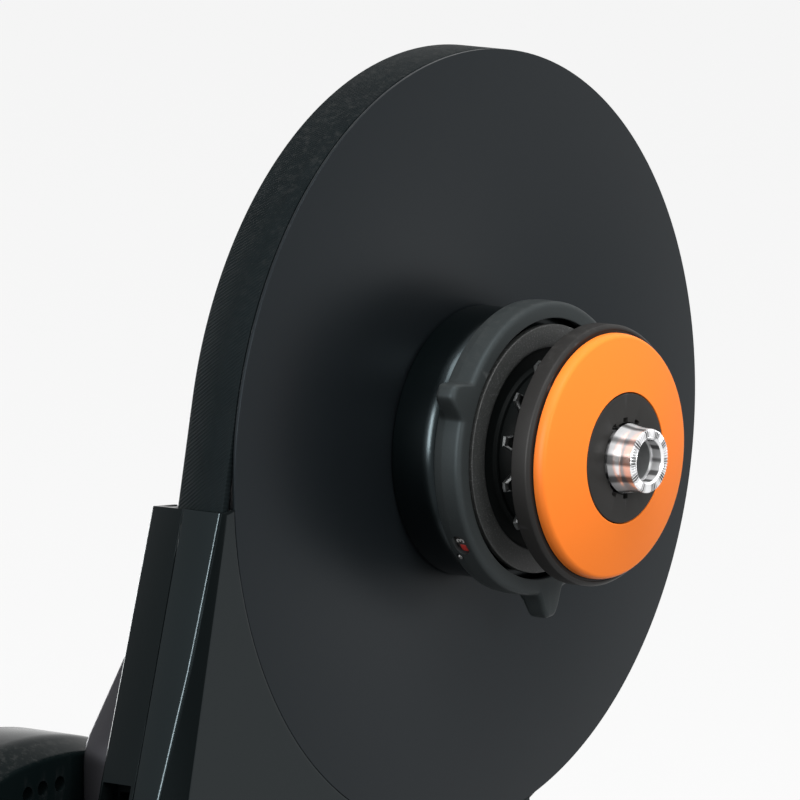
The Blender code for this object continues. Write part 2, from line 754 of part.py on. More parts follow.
def make_freehub():
    """Freehub body with its splines, pawls, bearings and seal."""
    seat = FREEHUB_BEARING_RADIUS + GAP
    nose_back = RATCHET_FRONT - RATCHET_WIDTH + 0.6
    bore = [
        (nose_back, circle(seat, SMALL_COUNT)),
        (nose_back + 6.3, circle(seat, SMALL_COUNT)),
        (nose_back + 6.3, circle(AXLE_RADIUS + 0.5, SMALL_COUNT)),
        (FREEHUB_SEAT - GAP, circle(AXLE_RADIUS + 0.5, SMALL_COUNT)),
        (FREEHUB_SEAT - GAP, circle(seat, SMALL_COUNT)),
        (FREEHUB_SEAT + FREEHUB_BEARING_WIDTH, circle(seat, SMALL_COUNT)),
        (FREEHUB_SEAT + FREEHUB_BEARING_WIDTH, circle(FREEHUB_MOUTH, SMALL_COUNT)),
        (FREEHUB_FRONT, circle(FREEHUB_MOUTH, SMALL_COUNT)),
    ]
    place("freehub_body", freehub_mesh(bore, nose_back), STEEL)
    for index in range(PAWLS):
        angle = 360.0 / PAWLS * index
        pivot = polar(PAWL_PIVOT_RADIUS, angle)
        tip_outer = polar(PAWL_TIP_RADIUS - 0.35, angle - PAWL_REACH)
        tip_inner = polar(PAWL_TIP_RADIUS - 2.3, angle - PAWL_REACH)
        rounds = [(tip_inner, 0.35, 1), (tip_outer, 0.35, 1), (pivot, 1.5, 1)]
        outline = [(point.x, point.y) for point, inward in wrap(rounds, 18.0)]
        place(f"pawl_{index + 1}", prism(outline, nose_back + 0.4, RATCHET_FRONT - 0.8), STEEL, pivot)
    bearing("freehub_bearing_inner", AXLE_NOSE_RADIUS + GAP, FREEHUB_BEARING_RADIUS,
            nose_back + 0.6, FREEHUB_BEARING_WIDTH)
    bearing("freehub_bearing_outer", AXLE_NOSE_RADIUS + GAP, FREEHUB_BEARING_RADIUS,
            FREEHUB_SEAT, FREEHUB_BEARING_WIDTH - 0.4)
    seal_back = RATCHET_FRONT + 0.2 + GAP
    seal_front = CARRIER_FLANGE[0] - GAP
    seal_bore = COLLAR_RADIUS + 2 * GAP
    seal = [
        (seal_back, seal_bore), (seal_back, RATCHET_OUTER), (seal_front, RATCHET_OUTER - 1.0),
        (seal_front, seal_bore),
    ]
    place("freehub_seal", turned(seal, 24), RUBBER)


def freehub_mesh(bore, nose_back):
    """The freehub body: a splined length with a round nose behind it, bored through."""
    bm = bmesh.new()
    splines = splined(0.0)
    nose = nose_outline()
    loft(bm, [(FREEHUB_BACK, splines), (FREEHUB_FRONT, splines)])
    loft(bm, [(nose_back, nose), (FREEHUB_BACK - 0.6, nose)])
    collar = circle(COLLAR_RADIUS, 20)
    loft(bm, [(FREEHUB_BACK - 0.6, collar), (FREEHUB_BACK, collar)])
    loft(bm, bore)
    flat(bm, FREEHUB_FRONT, [splines, bore[-1][1]])
    flat(bm, FREEHUB_BACK, [collar, splines])
    flat(bm, nose_back, [nose, bore[0][1]])
    flat(bm, FREEHUB_BACK - 0.6, [collar, nose])
    return bm


def make_lockring():
    """Centre cap: screwed into the freehub, with square notches round its bore for the key."""
    back = FREEHUB_FRONT + GAP
    front = FRONT_RING_TOP
    depth = 1.6
    spigot_bore = 12.6
    notched = []
    for index in range(LOCKRING_NOTCHES):
        angle = 360.0 / LOCKRING_NOTCHES * index
        half = 6.0
        notched.append(polar(LOCKRING_BORE, angle - half))
        notched.append(polar(LOCKRING_BORE + 1.7, angle - half))
        notched.append(polar(LOCKRING_BORE + 1.7, angle + half))
        notched.append(polar(LOCKRING_BORE, angle + half))
    bm = bmesh.new()
    outline = circle(LOCKRING_RADIUS, ROUND_COUNT)
    edge = circle(LOCKRING_RADIUS - 0.5, ROUND_COUNT)
    floor_bore = circle(LOCKRING_BORE, 24)
    spigot = circle(14.0, 24)
    inner = circle(spigot_bore, 24)
    spigot_back = back - 1.6
    loft(bm, [(back, outline), (front - 0.5, outline), (front, edge)])
    flat(bm, front, [edge, notched])
    loft(bm, [(front, notched), (front - depth, notched)])
    shrunk = circle(LOCKRING_BORE - 0.4, 24)
    flat(bm, front - depth, [notched, shrunk])
    loft(bm, [(front - depth, shrunk), (back, shrunk)])
    flat(bm, back, [outline, spigot])
    loft(bm, [(back, spigot), (spigot_back, spigot)])
    flat(bm, spigot_back, [spigot, inner])
    loft(bm, [(spigot_back, inner), (back, inner)])
    flat(bm, back, [inner, shrunk])
    place("centre_cap", bm, BLACK)


# Sprocket unit

def make_carrier():
    """The sleeve on the splines: its flange carries the index ring, its barrel the sprocket unit."""
    back, front = CARRIER_FLANGE
    flange = circle(CARRIER_FLANGE_RADIUS, ROUND_COUNT)
    sleeve = circle(CARRIER_RADIUS, ROUND_COUNT)
    spline_bore = splined(GAP)
    body = solid(
        [(back, flange), (front, flange)],
        [[(back, spline_bore), (FREEHUB_FRONT - 0.3, spline_bore)]],
        [(sleeve, FREEHUB_FRONT - 0.3, [spline_bore])],
    )
    place("cog_carrier", body, SOFT)
    inner = CARRIER_FLANGE_RADIUS + GAP
    outer = inner + INDEX_RING_WALL
    ring = [
        (INDEX_RING_BACK, inner), (INDEX_RING_BACK, outer),
        (INDEX_RING_FRONT, outer), (INDEX_RING_FRONT, inner),
    ]
    place("index_ring", turned(ring, ROUND_COUNT), NUMBER_WHITE)


def ring_radius(degrees, base, top):
    """Outer radius of the adjuster ring: round, with finger tabs that stand on concave flanks."""
    pitch = 360.0 / RING_TABS
    turn = abs((degrees - RING_TAB_ANGLE + pitch / 2) % pitch - pitch / 2)
    if turn >= RING_TAB_REACH:
        return base
    if turn <= RING_TAB_FLAT:
        return top
    part = (RING_TAB_REACH - turn) / (RING_TAB_REACH - RING_TAB_FLAT)
    return base + (top - base) * part * part * (3.0 - 2.0 * part)


def ring_angles():
    """Angles of the adjuster ring's corners, close together on the tabs."""
    pitch = 360.0 / RING_TABS
    side = [RING_TAB_FLAT, 0.5 * (RING_TAB_FLAT + RING_TAB_REACH), RING_TAB_REACH]
    turns = [-turn for turn in reversed(side)] + side
    plain = 8
    for index in range(1, plain):
        turns.append(RING_TAB_REACH + (pitch - 2 * RING_TAB_REACH) * index / plain)
    return [RING_TAB_ANGLE + pitch * tab + turn for tab in range(RING_TABS) for turn in turns]


def make_adjuster_ring():
    """Ring that is turned by hand to move the sprocket sideways; a channel inside holds it."""
    angles = ring_angles()

    def ring_outline(top, inset):
        return [polar(ring_radius(angle, RING_RADIUS, top) - inset, angle) for angle in angles]

    channel = CARRIER_FLANGE_RADIUS + 2 * GAP + INDEX_RING_WALL
    lip = circle(RING_LIP_RADIUS, 36)
    groove = circle(channel, 36)
    back_lip = circle(CARRIER_FLANGE_RADIUS + GAP, 36)
    front_wall = RING_FRONT - 1.8
    body = solid(
        [
            (RING_BACK, ring_outline(RING_RADIUS, 0.5)),
            (RING_BACK + 0.5, ring_outline(RING_RADIUS + 0.3, 0.0)),
            (RING_BACK + RING_TAB_SLOPE, ring_outline(RING_TAB_RADIUS, 0.0)),
            (RING_FRONT - 0.8, ring_outline(RING_TAB_RADIUS, 0.0)),
            (RING_FRONT, ring_outline(RING_TAB_RADIUS - 0.7, 0.8)),
        ],
        [[(RING_BACK, back_lip), (RING_BACK + 0.6, back_lip), (RING_BACK + 0.6, groove),
          (front_wall, groove), (front_wall, lip), (RING_FRONT, lip)]],
    )
    ring = place("adjuster_ring", body, SOFT)
    window = wrap([((-1.9, 0.0), 1.35, 1), ((1.9, 0.0), 1.35, 1)], 18.0)
    pill = prism([(point.y, point.x) for point, inward in window], RING_RADIUS - 4.0, RING_RADIUS + 8.0)
    spin = Matrix.Rotation(math.radians(WINDOW_ANGLE), 4, "X") @ Matrix.Rotation(math.radians(90), 4, "Z")
    bmesh.ops.transform(pill, matrix=Matrix.Translation((WINDOW_X, 0.0, 0.0)) @ spin, verts=pill.verts)
    cut(ring, place("window_tool", pill, SOFT))
    ball_spot = ball_place()
    hole = rod(BALL_RADIUS + 0.4, RING_RADIUS - 1.1, RING_TAB_RADIUS + 4.4, TINY_COUNT)
    spin = Matrix.Rotation(math.radians(BALL_ANGLE), 4, "X") @ Matrix.Rotation(math.radians(90), 4, "Z")
    bmesh.ops.transform(hole, matrix=Matrix.Translation((ball_spot.x, 0.0, 0.0)) @ spin, verts=hole.verts)
    cut(ring, place("ball_hole_tool", hole, SOFT))
    ball = bmesh.new()
    bmesh.ops.create_icosphere(ball, subdivisions=1, radius=BALL_RADIUS)
    bmesh.ops.translate(ball, vec=ball_spot, verts=ball.verts)
    place("index_ball", ball, CHROME)


def ball_place():
    """Centre of the ball catch, in its hole through the adjuster ring's band."""
    y, z = polar(RING_RADIUS + 0.4, BALL_ANGLE)
    return Vector((BALL_X, y, z))


def make_guides():
    """Inner and outer chain guides, the spacers between them and the orange front ring."""
    bore = CARRIER_RADIUS + GAP
    back = CARRIER_FLANGE[1] + GUIDE_TRAVEL + GAP
    front = INNER_GUIDE_FRONT
    dish = 0.9
    inner = [
        (back, bore), (back, INNER_GUIDE_RADIUS), (front - 0.4, INNER_GUIDE_RADIUS),
        (front, INNER_GUIDE_RADIUS - 0.4), (front, INNER_GUIDE_RADIUS - 4.4),
        (front - dish, INNER_GUIDE_RADIUS - 5.4), (front - dish, bore + 4.0), (front, bore + 4.0),
        (front, bore),
    ]
    place("inner_guide", turned(inner, ROUND_COUNT), SOFT)
    sprocket_back = SPROCKET_MIDDLE - SPROCKET_THICKNESS / 2
    sprocket_front = SPROCKET_MIDDLE + SPROCKET_THICKNESS / 2
    spacer_outer = bore + 3.3
    first = [(front + GAP, bore), (front + GAP, spacer_outer), (sprocket_back - GAP, spacer_outer),
             (sprocket_back - GAP, bore)]
    second = [(sprocket_front + GAP, bore), (sprocket_front + GAP, spacer_outer),
              (OUTER_GUIDE_BACK - GAP, spacer_outer), (OUTER_GUIDE_BACK - GAP, bore)]
    place("inner_spacer", turned(first, 20), BLACK)
    place("outer_spacer", turned(second, 20), BLACK)
    rim = OUTER_GUIDE_RADIUS
    outer = [
        (OUTER_GUIDE_BACK, bore), (OUTER_GUIDE_BACK, bore + 4.0), (OUTER_GUIDE_FRONT - 3.0, bore + 5.0),
        (OUTER_GUIDE_FRONT - 3.0, rim - 5.0), (OUTER_GUIDE_BACK, rim - 1.6), (OUTER_GUIDE_BACK + 0.8, rim),
        (OUTER_GUIDE_FRONT - 0.9, rim), (OUTER_GUIDE_FRONT, rim - 0.9), (OUTER_GUIDE_FRONT, bore),
    ]
    place("outer_guide", turned(outer, ROUND_COUNT), BLACK)
    ring_back = OUTER_GUIDE_FRONT + GAP
    cap_back = FREEHUB_FRONT - 0.3 + GUIDE_TRAVEL + GAP
    front_ring = [
        (ring_back, bore), (ring_back, FRONT_RING_RADIUS), (FRONT_RING_EDGE - 1.9, FRONT_RING_RADIUS),
        (FRONT_RING_EDGE, FRONT_RING_EDGE_RADIUS), (FRONT_RING_TOP, FRONT_RING_BORE),
        (cap_back, FRONT_RING_BORE), (cap_back, bore),
    ]
    place("front_ring", turned(front_ring, ROUND_COUNT), ORANGE)


def make_sprocket():
    """The single sprocket: its tooth gaps are arcs of the chain roller."""
    pitch_radius = CHAIN_PITCH / 2 / math.sin(math.pi / SPROCKET_TEETH)
    tip = pitch_radius + 2.6
    step = 360.0 / SPROCKET_TEETH
    outline = []
    for index in range(SPROCKET_TEETH):
        gap_angle = step * index
        gap_centre = polar(pitch_radius, gap_angle)
        outline += arc(ROLLER_RADIUS, gap_angle + 238.0, gap_angle + 122.0, 4, gap_centre)
        outline.append(polar(tip, gap_angle + step / 2 - 2.6))
        outline.append(polar(tip, gap_angle + step / 2 + 2.6))
    back = SPROCKET_MIDDLE - SPROCKET_THICKNESS / 2
    front = SPROCKET_MIDDLE + SPROCKET_THICKNESS / 2
    place("sprocket", prism(outline, back, front, [circle(CARRIER_RADIUS + GAP, 20)]), STEEL)


# Flywheel and brake

def make_flywheel():
    """Steel flywheel: heavy rim, thin web on the outside and a hub; three balance drillings."""
    deep, high = FLYWHEEL_BEVEL
    bore = FLYWHEEL_SHAFT_RADIUS + GAP
    web_front = FLYWHEEL_BACK + FLYWHEEL_WEB
    profile = [
        (FLYWHEEL_FACE, FLYWHEEL_RADIUS - high), (FLYWHEEL_FACE - deep, FLYWHEEL_RADIUS),
        (FLYWHEEL_BACK + 2.0, FLYWHEEL_RADIUS), (FLYWHEEL_BACK, FLYWHEEL_RADIUS - 2.0),
        (FLYWHEEL_BACK, bore), (HUB_FACE, bore), (HUB_FACE, FLYWHEEL_HUB_RADIUS),
        (web_front, FLYWHEEL_HUB_RADIUS + 2.0), (web_front, FLYWHEEL_INNER_RADIUS),
        (FLYWHEEL_FACE, FLYWHEEL_INNER_RADIUS),
    ]
    flywheel = place("flywheel", turned(profile, FINE_COUNT, FLYWHEEL_CENTRE), GLOSS, FLYWHEEL_CENTRE)
    spots = [polar(BALANCE_RADIUS, angle, FLYWHEEL_CENTRE) for angle in BALANCE_ANGLES]
    deep = FLYWHEEL_FACE - BALANCE_DEPTH
    holes = [rod(BALANCE_HOLE, deep, FLYWHEEL_FACE + 5.0, TINY_COUNT, spot) for spot in spots]
    cut(flywheel, place("balance_tool", join(*holes), GLOSS, FLYWHEEL_CENTRE))


def make_flywheel_shaft():
    """Shaft with its two bearings, the nut on the outside and the circlip on the drive side."""
    shaft = circle(FLYWHEEL_SHAFT_RADIUS, SMALL_COUNT, FLYWHEEL_CENTRE)
    place("flywheel_shaft", prism(shaft, FLYWHEEL_BACK - 6.5, BELT_FRONT + 0.2), STEEL, FLYWHEEL_CENTRE)
    nut = [
        polar(9.5, 60 * index, FLYWHEEL_CENTRE) for index in range(6)
    ]
    hole = circle(FLYWHEEL_SHAFT_RADIUS + GAP, SMALL_COUNT, FLYWHEEL_CENTRE)
    place(
        "flywheel_nut",
        prism(nut, FLYWHEEL_BACK - GAP - 5.5, FLYWHEEL_BACK - GAP, [hole]),
        STEEL,
        FLYWHEEL_CENTRE,
    )
    inner = FLYWHEEL_SHAFT_RADIUS + GAP
    bearing("flywheel_bearing_outer", inner, FLYWHEEL_BEARING_RADIUS, BRAKE_BACK + 0.3,
            FLYWHEEL_BEARING_WIDTH, FLYWHEEL_CENTRE)
    bearing("flywheel_bearing_inner", inner, FLYWHEEL_BEARING_RADIUS,
            BOSS_FRONT - 0.3 - FLYWHEEL_BEARING_WIDTH, FLYWHEEL_BEARING_WIDTH, FLYWHEEL_CENTRE)


def brake_outline(radius):
    """The brake core: a ring with poles that end close to the flywheel's rim."""
    points = []
    root = BEARING_BOSS_RADIUS + 14.0
    shoe = radius - 4.0
    step = 360.0 / BRAKE_POLES
    for index in range(BRAKE_POLES):
        angle = step * index
        root_half = math.degrees(math.asin(POLE_WIDTH / 2 / root))
        neck_half = math.degrees(math.asin(POLE_WIDTH / 2 / shoe))
        points.append(polar(root, angle - root_half, FLYWHEEL_CENTRE))
        points.append(polar(shoe, angle - neck_half, FLYWHEEL_CENTRE))
        points.append(polar(shoe + 1.0, angle - POLE_SPREAD, FLYWHEEL_CENTRE))
        points += arc(radius, angle - POLE_SPREAD, angle + POLE_SPREAD, 4, FLYWHEEL_CENTRE)
        points.append(polar(shoe + 1.0, angle + POLE_SPREAD, FLYWHEEL_CENTRE))
        points.append(polar(shoe, angle + neck_half, FLYWHEEL_CENTRE))
        points.append(polar(root, angle + root_half, FLYWHEEL_CENTRE))
        points.append(polar(root, angle + step / 2, FLYWHEEL_CENTRE))
    return points


def make_brake():
    """Stator on the frame's bearing boss: a laminated core with a coil wound round each pole."""
    radius = FLYWHEEL_INNER_RADIUS - BRAKE_AIR_GAP
    back = BRAKE_BACK + 1.0
    front = back + BRAKE_THICKNESS
    bore = circle(BEARING_BOSS_RADIUS + GAP, 24, FLYWHEEL_CENTRE)
    core = place("brake_stator", prism(brake_outline(radius), back, front, [bore]), COPPER, FLYWHEEL_CENTRE)
    coils = []
    for index in range(BRAKE_POLES):
        half = POLE_WIDTH / 2 + COIL_WALL
        start = BEARING_BOSS_RADIUS + 16.0
        stop = radius - 6.0
        coil = prism(
            [(start, -half), (stop, -half), (stop, half), (start, half)], back - COIL_WALL, front + COIL_WALL
        )
        turn = Matrix.Rotation(2 * math.pi * index / BRAKE_POLES, 4, "X")
        shift = Matrix.Translation((0.0, FLYWHEEL_Y, FLYWHEEL_Z))
        bmesh.ops.transform(coil, matrix=shift @ turn, verts=coil.verts)
        coils.append(coil)
    cut(core, place("brake_coil_tool", join(*coils), COPPER, FLYWHEEL_CENTRE), "UNION")


# Frame and legs

def frame_outline():
    """Outside of the frame casting, from the hub boss round by the flywheel to the front foot."""
    rear = REAR_LEG - LEG_WIDTH / 2 - 4.0
    front = FRONT_LEG + LEG_WIDTH / 2 + 4.0
    top = FLOOR + SPINE_TOP
    bottom = FLOOR + SPINE_BOTTOM
    return rounded(
        [
            (40.0, 40.0, 38.0), (-40.0, 40.0, 38.0), (-118.0, -31.6, 30.0), (-149.5, -72.2, 16.0),
            (-149.5, -148.0, 10.0), (-184.0, -168.0, 18.0), (-184.0, -208.0, 24.0),
            (-238.0, top, 30.0), (rear, top, 6.0), (rear, bottom, 4.0), (front, bottom, 4.0),
            (front, top, 6.0), (150.0, top, 40.0), (58.0, -130.0, 60.0),
        ]
    )


def lower_window():
    """The open space between the two struts and the spine."""
    top = FLOOR + SPINE_TOP
    return rounded([(14.0, -152.0, 14.0), (-92.0, -206.0, 14.0), (-104.0, top + 22.0, 14.0),
                    (58.0, top + 20.0, 14.0)])


def upper_window():
    """The smaller opening under the axle boss."""
    return rounded([(-6.0, -58.0, 10.0), (-82.0, -128.0, 10.0), (12.0, -104.0, 10.0)])


def strut_pocket():
    """The shallow recess in the rear strut."""
    return rounded([(-28.0, 10.0, 8.0), (-106.0, -36.0, 12.0), (-136.0, -78.0, 10.0),
                    (-136.0, -142.0, 8.0), (-112.0, -140.0, 8.0), (-26.0, -58.0, 10.0)])


def leg_section(inset=0.0):
    """Rounded rectangle of a leg tube, in (y, z) about the leg's middle."""
    half_width = LEG_WIDTH / 2 - inset
    half_height = LEG_HEIGHT / 2 - inset
    radius = 9.0 - inset
    return rounded(
        [(half_width, half_height, radius), (-half_width, half_height, radius),
         (-half_width, -half_height, radius), (half_width, -half_height, radius)], 45.0
    )


def guard_screw_places():
    """Where the inner guard is screwed to the frame's pads."""
    return [(-128.0, -110.0), (-108.0, -196.0), (-70.0, -94.0)]


def make_frame():
    """The frame casting: a ribbed plate with an axle boss, a bearing boss and a spine on the floor side."""
    outline = frame_outline()
    windows = [lower_window(), upper_window()]
    pocket = strut_pocket()
    axle = circle(AXLE_RADIUS + GAP, 20)
    bearing_bore = circle(FLYWHEEL_BEARING_RADIUS + GAP, 24, FLYWHEEL_CENTRE)
    axle_boss = circle(AXLE_BOSS_RADIUS, 24)
    bearing_boss = circle(BEARING_BOSS_RADIUS, 24, FLYWHEEL_CENTRE)
    legs = [moved(leg_section(-GAP), leg, LEG_MIDDLE) for leg in (FRONT_LEG, REAR_LEG)]
    pads = [circle(7.0, TINY_COUNT, spot) for spot in guard_screw_places()]
    pivot_hole = circle(3.0 + GAP, TINY_COUNT, arm_pivot())
    pad_level = GUARD_BACK - GAP
    front_steps = [
        (axle_boss, HUB_BACK - GAP - 0.7, [axle]),
        (bearing_boss, BOSS_FRONT, [bearing_bore]),
    ] + [(pad, pad_level, []) for pad in pads]
    back_steps = [
        (axle_boss, FRAME_BOSS_BACK, [axle]),
        (bearing_boss, BRAKE_BACK, [bearing_bore]),
        (pocket, FRAME_BACK + FRAME_POCKET, []),
    ]
    bores = [
        [(FRAME_BOSS_BACK, axle), (HUB_BACK - GAP - 0.7, axle)],
        [(BRAKE_BACK, bearing_bore), (BOSS_FRONT, bearing_bore)],
    ]
    bores += [[(FRAME_BACK, window), (FRAME_FRONT, window)] for window in windows]
    bores += [[(FRAME_BACK, leg), (FRAME_FRONT, leg)] for leg in legs]
    bores.append([(FRAME_BACK, pivot_hole), (FRAME_FRONT, pivot_hole)])
    body = solid([(FRAME_BACK, outline), (FRAME_FRONT, outline)], bores, front_steps, back_steps)
    place("main_frame", body, BLACK)


def make_legs():
    """Front and rear cross tubes through the frame's spine, with end caps, feet and clamp bolts."""
    half = LEG_LENGTH / 2
    outer = leg_section()
    inner = leg_section(LEG_WALL)
    foot_top = LEG_MIDDLE - LEG_HEIGHT / 2
    for name, y in (("front_leg", FRONT_LEG), ("rear_leg", REAR_LEG)):
        section = moved(outer, y, LEG_MIDDLE)
        hollow = moved(inner, y, LEG_MIDDLE)
        tube = prism(section, -half, half, [hollow])
        leg = place(name, tube, BLACK, (y, LEG_MIDDLE))
        tools = []
        for x in (-FOOT_PLACE, FOOT_PLACE):
            tools.append(upright(rod(4.6, foot_top - 1.0, foot_top + LEG_WALL + 1.0, TINY_COUNT), x, y))
        clamp_x = (FRAME_BACK + FRAME_FRONT) / 2
        clamp_hole = rod(3.2, LEG_MIDDLE + 8.0, LEG_MIDDLE + LEG_HEIGHT / 2 + 1.0, TINY_COUNT)
        tools.append(upright(clamp_hole, clamp_x, y))
        cut(leg, place(name + "_hole_tool", join(*tools), BLACK, (y, LEG_MIDDLE)))
        place(name + "_bolt", clamp_bolt(clamp_x, y), STEEL, (y, LEG_MIDDLE))
        foot_name = "levelling_foot" if name == "front_leg" else "rear_foot"
        for side, hand in ((-1, "left"), (1, "right")):
            place(f"{name}_cap_{hand}", leg_cap(side, y), RUBBER, (y, LEG_MIDDLE))
            place(f"{foot_name}_{hand}", foot(side * FOOT_PLACE, y, foot_top), RUBBER, (y, LEG_MIDDLE))


def upright(bm, x, y):
    """Turns a mesh made along x so that it stands along z at (x, y)."""
    swap = Matrix(((0, 0, 1, 0), (0, 1, 0, 0), (1, 0, 0, 0), (0, 0, 0, 1)))
    bmesh.ops.transform(bm, matrix=Matrix.Translation((x, y, 0.0)) @ swap, verts=bm.verts)
    bmesh.ops.reverse_faces(bm, faces=bm.faces)
    return bm


def foot(x, y, top):
    """Rubber foot with a waist and a stem that goes up into the leg tube."""
    base = FLOOR
    rings = [
        (base, FOOT_RADIUS), (base + 5.0, FOOT_RADIUS), (base + 8.0, FOOT_RADIUS - 3.5),
        (top - GAP, FOOT_RADIUS - 3.5), (top - GAP, 4.2), (top + 14.0, 4.2),
    ]
    return upright(solid([(level, circle(radius, 12)) for level, radius in rings]), x, y)


def leg_cap(side, y):
    """Plastic cap over the end of a leg tube, with a plug inside it."""
    half = LEG_LENGTH / 2
    plug = moved(leg_section(LEG_WALL + GAP), y, LEG_MIDDLE)
    section = moved(leg_section(), y, LEG_MIDDLE)
    small = moved(leg_section(3.0), y, LEG_MIDDLE)
    rings = [
        (side * (half - 10.0), plug), (side * (half + GAP), plug), (side * (half + GAP), section),
        (side * (half + LEG_CAP - 3.0), section), (side * (half + LEG_CAP), small),
    ]
    return solid(rings)


def clamp_bolt(x, y):
    """Bolt from the top of the spine into a leg tube."""
    top = FLOOR + SPINE_TOP
    rings = [
        (LEG_MIDDLE + 9.0, 2.9), (top + GAP, 2.9), (top + GAP, 5.0), (top + 5.0, 5.0),
    ]
    return upright(solid([(level, circle(radius, TINY_COUNT)) for level, radius in rings]), x, y)


def drill_frame():
    """Bolt holes from the top of the spine down to the legs."""
    clamp_x = (FRAME_BACK + FRAME_FRONT) / 2
    tools = []
    for y in (FRONT_LEG, REAR_LEG):
        low = LEG_MIDDLE + LEG_HEIGHT / 2 - 1.0
        tools.append(upright(rod(3.2, low, FLOOR + SPINE_TOP + 1.0, TINY_COUNT), clamp_x, y))
    cut(bpy.data.objects["main_frame"], place("frame_drill_tool", join(*tools), BLACK))


# Belt cover and guard

def cover_outline(rear_top, knee, end_radius, front_inset, inner_radius):
    """Outline of the cover at one depth.

    It runs from the rear edge's top down to the knee, round the flywheel pulley, along the
    bottom to the front corner and back along the big disc's circle.
    """
    end = Vector(FLYWHEEL_CENTRE)
    corner = (44.0 - front_inset, -160.0 + front_inset)
    rear_turn = tangent_angle(Vector(knee), end, end_radius, 1)
    front_turn = tangent_angle(Vector(corner), end, end_radius, -1)
    points = [rear_top, knee]
    points += arc(end_radius, rear_turn, front_turn, 6, FLYWHEEL_CENTRE)
    points += [(corner[0] - 8.0, corner[1] + 1.5), (corner[0], corner[1] + 9.0)]
    start = 285.0
    stop = 180.0 + math.degrees(math.asin(-COVER_TOP / inner_radius))
    points += arc(inner_radius, start, stop, 12)
    return points


def tangent_angle(point, centre, radius, side):
    """Angle on a circle where the line to a point outside touches it."""
    reach = point - centre
    toward = math.degrees(math.atan2(reach.y, reach.x))
    spread = math.degrees(math.acos(radius / reach.length))
    angle = toward + side * spread
    return angle % 360.0


def belt_space(inset):
    """The hollow that the belt, the small pulley and the tensioner need."""
    idler = idler_centre()
    circles = [
        ((0.0, 0.0), BELT_OUTER_RADIUS + 0.9 - inset, 1),
        (FLYWHEEL_CENTRE, SMALL_OUTER_RADIUS + 5.0 - inset, 1),
        (arm_pivot(), 10.0 - inset, 1),
        (idler, IDLER_RADIUS + 6.0 - inset, 1),
    ]
    return [(point.x, point.y) for point, inward in wrap(circles, 4.0)]


def chamfer_depth(y, z):
    """x of the cover's rear edge: its chamfer grows downwards."""
    depth = COVER_EDGE_DEPTH + COVER_CHAMFER_GROWTH * (COVER_TOP - z)
    return DISC_FACE - max(COVER_EDGE_DEPTH, depth)


def screw_places():
    """Where the cover is screwed to the guard."""
    reach = SMALL_OUTER_RADIUS + COVER_END - 4.4
    low_places = [polar(reach, angle, FLYWHEEL_CENTRE) for angle in (172.0, 262.0)]
    return [polar(BELT_OUTER_RADIUS + 32.0, 281.6)] + low_places


def make_covers():
    """Outer belt cover with the disc's round cut-out, and the guard behind it."""
    inner = BELT_OUTER_RADIUS + COVER_GAP
    rear_top = (-BELT_OUTER_RADIUS - COVER_REAR, COVER_TOP + 0.6)
    knee = (-BELT_OUTER_RADIUS - COVER_KNEE_OUT, COVER_KNEE)
    end_radius = SMALL_OUTER_RADIUS + COVER_END
    face_top = (-BELT_OUTER_RADIUS - COVER_FACE_REAR, COVER_TOP - 0.1)
    face_knee = (-BELT_OUTER_RADIUS - COVER_FACE_KNEE_OUT, COVER_KNEE)
    seam = cover_outline(rear_top, knee, end_radius, 0.0, inner)
    face = cover_outline(face_top, face_knee, SMALL_OUTER_RADIUS + COVER_FACE_END, 6.0, inner)
    cover = place(
        "belt_cover",
        faceted(solid([(COVER_SEAM, seam), (chamfer_depth, seam), (DISC_FACE, face)])),
        BLACK,
    )
    low = GUARD_BACK + GUARD_WALL
    hollow = [
        (low, belt_space(0.0)), (DISC_BACK - 1.2, belt_space(0.0)), (DISC_BACK - 0.1, belt_space(1.0)),
    ]
    cut(cover, place("cover_hollow_tool", faceted(solid(hollow)), BLACK))
    seat_radius = SCREW_HEAD_RADIUS + GAP
    seats = [
        rod(seat_radius, COVER_SCREW_SEAT, DISC_FACE + 2.0, TINY_COUNT, spot) for spot in screw_places()
    ]
    cut(cover, place("cover_seat_tool", join(*seats), BLACK))
    head_back = COVER_SCREW_SEAT - 1.0
    head_front = COVER_SCREW_SEAT + SCREW_HEAD_HEIGHT
    heads = [
        rod(SCREW_HEAD_RADIUS - GAP, head_back, head_front, TINY_COUNT, spot) for spot in screw_places()
    ]
    cut(cover, place("cover_screw_tool", join(*heads), STEEL), "UNION")
    back_top = (rear_top[0] + 1.9, COVER_TOP)
    back_knee = (knee[0] + 3.4, COVER_KNEE + 10.0)
    back = cover_outline(back_top, back_knee, end_radius - 0.6, 0.5, GUARD_INNER_RADIUS)
    seam_guard = cover_outline(rear_top, knee, end_radius, 0.0, GUARD_INNER_RADIUS)
    guard = place(
        "belt_guard",
        faceted(solid([(GUARD_BACK, back), (COVER_SEAM - GAP, seam_guard)])),
        BLACK,
    )
    cut(guard, place("guard_hollow_tool", solid([(low, belt_space(0.2)), (0.0, belt_space(0.2))]), BLACK))
    holes = [rod(BEARING_BOSS_RADIUS + 2 * GAP, GUARD_BACK - 1.0, BOSS_FRONT + GAP, 24, FLYWHEEL_CENTRE)]
    holes.append(rod(3.9, GUARD_BACK - 1.0, low + 1.0, TINY_COUNT, arm_pivot()))
    cut(guard, place("guard_hole_tool", join(*holes), BLACK))
    head_front = low + SCREW_HEAD_HEIGHT
    heads = [
        rod(SCREW_HEAD_RADIUS, low - 1.0, head_front, TINY_COUNT, spot) for spot in guard_screw_places()
    ]
    cut(guard, place("guard_screw_tool", join(*heads), STEEL), "UNION")


# Electronics

